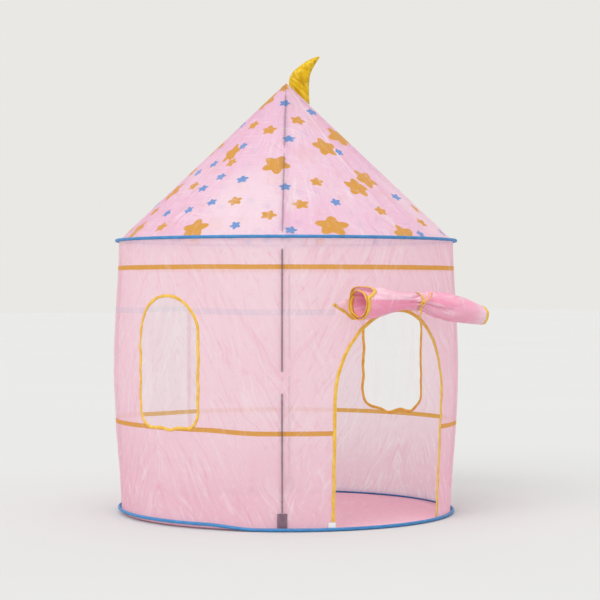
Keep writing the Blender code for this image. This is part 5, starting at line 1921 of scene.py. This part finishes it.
    def valley(self, side: Array, degrees: Array) -> Array:
        """How deep in a pleat each place lies, near the tie."""
        x = np.where(side < 0, self.left_reach, self.right_reach) * side
        return (1.0 - self.wave(x + self.tie_x, np.radians(degrees))) ** 2.5 * np.exp(-np.abs(x / 0.055) ** 1.5)

    def corner_edges(self, share: Array) -> tuple[Array, Array]:
        """The upper and lower edges of the free corner, from inside the roll to its tip."""
        upper = ((-0.115, -0.5135, 0.656), (-0.168, -0.5155, 0.652), (-0.205, -0.518, 0.649), (-0.247, -0.521, 0.637))
        lower = ((-0.115, -0.5145, 0.613), (-0.168, -0.5165, 0.594), (-0.203, -0.519, 0.612), (-0.247, -0.522, 0.633))
        return through(upper, share), through(lower, share)

    def corner(self) -> list[Object]:
        """Makes the free corner, which hangs behind the left end, and its tape."""
        share, down = np.meshgrid(np.linspace(0.0, 1.0, 40), np.linspace(0.0, 1.0, 26), indexing="ij")
        upper, lower = self.corner_edges(share)
        points = upper + (lower - upper) * down[..., None]
        bow = -0.0025 * np.sin(np.pi * share) * np.sin(np.pi * down)
        points[..., 1] += bow + 0.0012 * noise_at(share * 5.0, down * 4.0, 2.0)
        flat = np.stack([points[..., 0], down * 0.1], axis=-1)
        mesh = grid_patch(points, {"cloth": flat, "pull": flat[..., ::-1]}).mesh("door_flap_corner")
        mesh.attributes.new("layers_and_shade", "FLOAT", "POINT").data.foreach_set("value", [0.15] * len(mesh.vertices))
        sheet = add_piece("door_flap_corner", mesh, Look.FLAP, ROLL)
        upper, lower = self.corner_edges(np.linspace(0.0, 1.0, 60))
        end = np.vstack([lower, lower[-1:] + [[0.0, 0.0005, 0.002]], upper[-4:-1][::-1]])
        into = np.vstack([upper - lower, (upper - lower)[-2:-1] + [[0.02, 0.0, 0.0]], (lower - upper)[-4:-1][::-1]])
        tape = swept_mesh("corner_tape", self.folded_tape(end, into), closed=False)
        return [sheet, add_piece("door_flap_corner_tape", tape, Look.YELLOW, ROLL)]

    def flap(self) -> Object:
        """Makes the rolled cloth."""
        side, row = self.grid()
        points = self.surface(side, row)
        step = np.linalg.norm(np.diff(points, axis=1), axis=-1)
        run = np.concatenate([np.zeros((len(points), 1)), np.cumsum(step, axis=1)], axis=1).mean(0)
        flat = np.stack(np.broadcast_arrays(points[..., 0], run[None, :]), axis=-1)
        mesh = grid_patch(points, {"cloth": flat, "pull": flat[..., ::-1]}).mesh("door_flap")
        layers_and_shade = mesh.attributes.new("layers_and_shade", "FLOAT", "POINT")
        layers_and_shade.data.foreach_set("value", self.layers_and_shade_mask(side, row).astype(np.float32).ravel())
        return add_piece("door_flap", mesh, Look.FLAP, ROLL, ["door_flap_roll"])

    def tape(self, edge: float) -> Array:
        """Rings of the tape folded over one end of the roll."""
        row = np.linspace(-0.55, 1.0, 420)
        side = np.full(row.shape, edge)
        end = self.surface(side, row)
        return self.folded_tape(end, self.surface(side - edge * 0.01, row) - end)

    def folded_tape(self, end: Array, into: Array) -> Array:
        """Folds tape over a line of cloth.

        Args:
            end: Points of the line.
            into: Steps into the cloth from each.

        Returns:
            The tape's rings.
        """
        into = into / np.linalg.norm(into, axis=-1, keepdims=True)
        along = frames_along(end, False)
        into = into - along * (into * along).sum(-1, keepdims=True)
        into = into / np.linalg.norm(into, axis=-1, keepdims=True)
        out = np.cross(along, into)
        half = [(self.tape_width, 0.5), (self.tape_width * 0.5, 1.0), (0.0, 0.9)]
        section = [*half, (-0.0012, 0.0), *((reach, -lift) for reach, lift in reversed(half))]
        return np.stack([end + into * reach + out * lift * self.tape_thickness for reach, lift in section], axis=1)

    def build(self) -> Object:
        """Makes the flap, its tapes and its ribbon."""
        flap = self.flap()
        for name, edge, replaces in (("flap_left_tape", -1.0, ["door_flap_binding"]), ("flap_right_tape", 1.0, [])):
            mesh = swept_mesh(name, self.tape(edge), closed=False)
            add_piece(name, mesh, Look.YELLOW, ROLL, replaces)
        ribbon = TieRibbon(self).build()
        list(self.corner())
        return flap


@dataclass
class TieRibbon:
    """The ribbon round the roll, its bow and its loose end."""

    roll: DoorRoll
    width: float = 0.0070
    thickness: float = 0.0009
    reach: float = 0.0266
    knot_half: tuple = (0.0062, 0.0046, 0.0066)
    tail_start: Span = (-0.592325, 0.629063)
    tail_drop: tuple = (-0.008, -0.0028, -0.034)
    # Name, length, tilt and half width of each loop of the bow
    loops: tuple = (
        ("tie_loop_upper", 0.040, math.radians(40.0), 0.006),
        ("tie_loop_lower", 0.019, math.radians(208.0), 0.004),
    )

    def band(self) -> Array:
        """The band from the seam round the roll and back."""
        angle = np.radians(np.linspace(46.0, 285.0, 60))
        sway = 0.0012 * np.sin(angle * 3.0)
        roll, reach = self.roll, self.reach
        y, z = roll.roll_y + reach * np.cos(angle), roll.roll_z + reach * np.sin(angle)
        ring = np.stack([roll.tie_x + sway, y, z], axis=-1)
        seam = np.array([0.004, roll.seam_y - 0.006, roll.seam_z + 0.004])
        path = np.vstack([[seam], ring, [seam + np.array([0.0, -0.002, -0.004])]])
        return ribbon_rings(resample(path, 0.003, False), np.array([1.0, 0.0, 0.0]), self.width, self.thickness)

    def loop(self, length: float, tilt: float, fat: float) -> Array:
        """Sweeps one flattened loop of the bow.

        Args:
            length: How far it reaches from the knot.
            tilt: The way that it points, from level.
            fat: Half of its width.

        Returns:
            The loop's rings.
        """
        turn = full_turn(48)
        way = np.array([math.cos(tilt), 0.0, math.sin(tilt)])
        across = np.array([-math.sin(tilt), 0.0, math.cos(tilt)])
        front = np.array([0.0, -1.0, 0.0])
        knot = self.knot_place()
        reach = (1.0 - np.cos(turn)) / 2 * length
        open_by = np.sin(turn) * fat * (0.35 + 0.65 * np.sin(np.clip(reach / length, 0, 1) * np.pi * 0.8))
        bulge = 0.004 * np.sin(np.pi * reach / length)
        path = knot + way * reach[:, None] + across * open_by[:, None] + front * (0.002 + bulge)[:, None]
        return ribbon_rings(path, front, self.width * 0.62, self.thickness, closed=True)

    def knot_place(self) -> Array:
        """The middle of the knot, on the front of the band."""
        return np.array([self.roll.tie_x - 0.002, self.roll.roll_y - self.reach - 0.003, self.roll.roll_z - 0.001])

    def knot(self) -> Mesh:
        """A small wrapped lump."""
        turn = full_turn(20)
        wide, deep, tall = self.knot_half
        rings = []
        for level in np.linspace(-1.0, 1.0, 11):
            size = max(1.0 - abs(level) ** 2.6, 0.0) ** 0.5 + 0.02
            dent = 1.0 - 0.14 * np.cos(turn * 2 + level * 2.0)
            x, y = wide * size * np.cos(turn) * dent, deep * size * np.sin(turn) * dent
            rings.append(self.knot_place() + np.stack([x, y, np.full(x.shape, tall * level)], axis=-1))
        return swept_mesh("tie_knot", np.stack(rings), closed=False)

    def tail(self) -> Array:
        """The loose end, hanging from the knot."""
        share = np.linspace(0.0, 1.0, 16)
        place = np.array([self.roll.tie_x - 0.003, *self.tail_start])
        aside, bow, down = self.tail_drop
        drop = np.stack([aside * share**0.8, bow * np.sin(np.pi * share) - 0.0005, down * share], axis=-1)
        return ribbon_rings(place + drop, np.array([1.0, 0.25, 0.0]), self.width * 1.25, self.thickness)

    def build(self) -> list[Object]:
        """Makes the ribbon's pieces."""
        band = swept_mesh("band", self.band(), closed=False)
        pieces = [
            add_piece("tie_ribbon_band", band, Look.YELLOW, ROLL, ["tie_ribbon"]),
            add_piece("tie_knot", self.knot(), Look.YELLOW, ROLL),
        ]
        for name, length, tilt, fat in self.loops:
            mesh = swept_mesh(name, self.loop(length, tilt, fat), closed=True)
            pieces.append(add_piece(name, mesh, Look.YELLOW, ROLL))
        mesh = swept_mesh("tie_loose_end", self.tail(), closed=False)
        add_piece("tie_loose_end", mesh, Look.YELLOW, TAIL, ["tie_tail"])
        return pieces


# Moon


@dataclass
class Moon:
    """The stuffed satin crescent sewn along one rib below the apex."""

    rod: int = 2
    foot_start: float = 0.010
    foot_end: float = 0.070
    reach: float = 0.1053
    height: float = 0.082
    half_thickness: float = 0.0185
    sides: int = 44
    rings: int = 84
    puckers: float = 0.0007
    gathers: float = 0.0034
    swells: float = 0.0022
    dents: float = 0.0034
    # Outer edge and inner edge as shares of the reach and of the height, and of the half thickness
    sections: tuple = (
        ((0.110, 0.135), (0.660, -0.425), 0.80),
        ((0.150, 0.270), (0.658, -0.200), 1.00),
        ((0.245, 0.445), (0.668, 0.030), 0.96),
        ((0.385, 0.600), (0.695, 0.280), 0.82),
        ((0.560, 0.770), (0.762, 0.500), 0.64),
        ((0.780, 0.920), (0.870, 0.740), 0.40),
        ((0.960, 0.995), (0.975, 0.940), 0.12),
    )

    def swell(self, at: Array, turn: Array) -> Array:
        """How far the stuffing and the seams push the satin out.

        Args:
            at: Shares of the way from the moon's foot to its tip.
            turn: Angles round its section.

        Returns:
            Outward steps for each pair of them.
        """
        at, turn = np.meshgrid(at, turn, indexing="ij")
        up, out = np.sin(turn), np.cos(turn)
        pucker = np.sin(at * 95.0 + 2.0 * noise_at(at * 9.0, up, 2.0)) * np.exp(-((np.abs(up) - 0.25) / 0.28) ** 2)
        gather = np.sin(turn * 5.0 + 3.0 * noise_at(at * 6.0, out, 7.0)) * np.exp(-((at - 0.10) / 0.10) ** 2)
        belly = noise_at(at * 5.0, up * 1.2, out * 1.2 + 3.0)
        dent = np.exp(-((at - 0.60 - 0.05 * out) / 0.03) ** 2) + 0.8 * np.exp(-((at - 0.27 + 0.04 * out) / 0.03) ** 2)
        push = self.puckers * pucker + self.gathers * gather + self.swells * belly - self.dents * dent
        return push * np.sin(np.pi * np.clip(at, 0.02, 0.98)) ** 0.4 * np.abs(up) ** 0.5

    def build(self) -> Object:
        """Makes the moon from two panels that meet in a seam along its edges."""
        azimuth = FORM.rod_azimuth(self.rod)
        feet = [FORM.roof(np.array(azimuth), np.array(1.0 - reach / FORM.roof_radius), -0.0006)
                for reach in (self.foot_start, self.foot_end)]
        table = [[np.hypot(*feet[0][:2]), feet[0][2], np.hypot(*feet[1][:2]), feet[1][2], 0.16]]
        for outer, inner, share in self.sections:
            table.append([
                self.reach * outer[0], FORM.apex + self.height * outer[1],
                self.reach * inner[0], FORM.apex + self.height * inner[1], share,
            ])
        at = np.linspace(0.0, 1.0, self.rings)
        u0, z0, u1, z1, share = through(table, at).T
        share = np.maximum(share, 0.05)
        turn = full_turn(self.sides)
        across, lift = np.cos(turn), np.sin(turn)
        full = np.sign(lift) * (np.abs(lift) ** 0.82)
        seam = np.abs(lift) < 0.05
        mid_u, mid_z = (u0 + u1) / 2, (z0 + z1) / 2
        half_u, half_z = (u1 - u0) / 2, (z1 - z0) / 2
        thick = self.half_thickness * share[:, None] * full + np.sign(lift) * self.swell(at, turn)
        grow = 1.0 + np.where(seam, 0.05, 0.0)
        u = mid_u[:, None] + half_u[:, None] * across * grow
        z = mid_z[:, None] + half_z[:, None] * across * grow
        points = polar(u, azimuth, z) + thick[..., None] * polar(1.0, azimuth + math.pi / 2, 0.0)
        mesh = swept_mesh("moon_satin", points, closed=False)
        moon = add_piece("moon_satin", mesh, Look.SATIN, replaces=["moon"])
        return moon


# Frame, studio and camera


def dress_frame(nodes: dict[str, Object]) -> None:
    """Gives the frame's own rigid pieces their finishes.

    Args:
        nodes: The frame's nodes by name.
    """
    looks = {"rod": Look.ROD, "ferrule": Look.PLASTIC, "elbow": Look.PLASTIC, "hub": Look.PLASTIC, "hoop": Look.WIRE}
    for name, node in nodes.items():
        if node.hide_render:
            continue
        look = next(look for word, look in looks.items() if word in name.split("_"))
        node.data.materials.clear()
        node.data.materials.append(look.material)
        LOG.info("%s keeps its solid, finished as %s", name, look.name.lower())


@dataclass
class Studio:
    """The pale floor, the soft light and the camera at the photograph's angle."""

    azimuth: float = math.radians(-38.4)
    distance: float = 5.57
    eye: float = 0.679
    focal_pixels: float = 1814.0
    frame_pixels: float = 600.0
    axis_pixel: float = 286.0
    horizon_pixel: float = 289.0
    backdrop: Colour = (0.816, 0.808, 0.776)
    sky: Colour = (1.0, 0.985, 0.965)
    sky_strength: float = 0.91
    floor_half: float = 40.0
    # Name, direction, angular width in degrees and strength
    suns: tuple = (("key", (-0.75, -0.26, 0.61), 40.0, 1.08), ("top", (-0.12, -0.13, 0.98), 34.0, 0.35))

    def camera(self) -> None:
        """Adds the camera."""
        data = bpy.data.cameras.new("camera")
        data.sensor_width = 36.0
        data.lens = self.focal_pixels / self.frame_pixels * data.sensor_width
        data.shift_x = (self.frame_pixels / 2 - self.axis_pixel) / self.frame_pixels
        data.shift_y = (self.horizon_pixel - self.frame_pixels / 2) / self.frame_pixels
        data.clip_end = 100.0
        camera = put("camera", data)
        camera.location = polar(self.distance, self.azimuth, self.eye)
        camera.rotation_euler = (math.pi / 2, 0.0, self.azimuth)
        bpy.context.scene.camera = camera

    def world(self) -> None:
        """Lights the tent evenly and shows the pale backdrop to the camera."""
        world = bpy.data.worlds.new("studio")
        bpy.context.scene.world = world
        world.use_nodes = True
        world.node_tree.nodes.clear()
        bench = Bench(world.node_tree)
        path = bench.node("LightPath")
        seen = bench.most(path.outputs["Is Camera Ray"], path.outputs["Is Glossy Ray"])
        seen = bench.most(seen, path.outputs["Is Transmission Ray"])
        lit = bench.node("Background", {"Color": self.sky, "Strength": self.sky_strength})
        shown = bench.node("Background", {"Color": self.backdrop, "Strength": 1.0})
        mixed = bench.node("MixShader", {0: seen, 1: lit.outputs[0], 2: shown.outputs[0]})
        output = bench.node("OutputWorld")
        bench.feed(output.inputs["Surface"], mixed.outputs[0])

    def floor(self) -> None:
        """Adds the plain floor."""
        size = self.floor_half
        mesh = bpy.data.meshes.new("studio_floor")
        corners = [(-size, -size, 0.0), (size, -size, 0.0), (size, size, 0.0), (-size, size, 0.0)]
        mesh.from_pydata(corners, [], [(0, 1, 2, 3)])
        mesh.materials.append(Ground().material())
        put("studio_floor", mesh)

    def build(self) -> None:
        """Sets up the studio."""
        self.camera()
        self.world()
        self.floor()
        for name, place, spread, strength in self.suns:
            data = bpy.data.lights.new(name, "SUN")
            data.angle, data.energy = math.radians(spread), strength
            put(name, data).rotation_euler = Vector(place).to_track_quat("Z", "Y").to_euler()
        bpy.context.scene.view_settings.view_transform = "Standard"


def main() -> None:
    """Builds the tent's looks round the frame."""
    logging.basicConfig(level=logging.INFO, format="%(message)s")
    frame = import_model()
    Studio().build()
    wall = WallCloth().build()
    sewn = [Bindings().build(opening) for opening in (DOOR, *WINDOWS)]
    for opening in WINDOWS:
        Nets().build(opening)
    RoofCloth().build()
    FloorCloth().build()
    sewn.append(HoopTape("base", radius=0.50913, height=FORM.base_seam, leg=0.0012, lifted=True).build())
    sewn.append(HoopTape("eave", radius=0.51823, height=FORM.eave_seam, leg=0.0052, lifted=False).build())
    sewn += RodCloths().build()
    sewn.append(HemTag().build())
    DoorRoll().build()
    Moon().build()
    dress_frame(frame["nodes"])


if __name__ == "__main__":
    main()
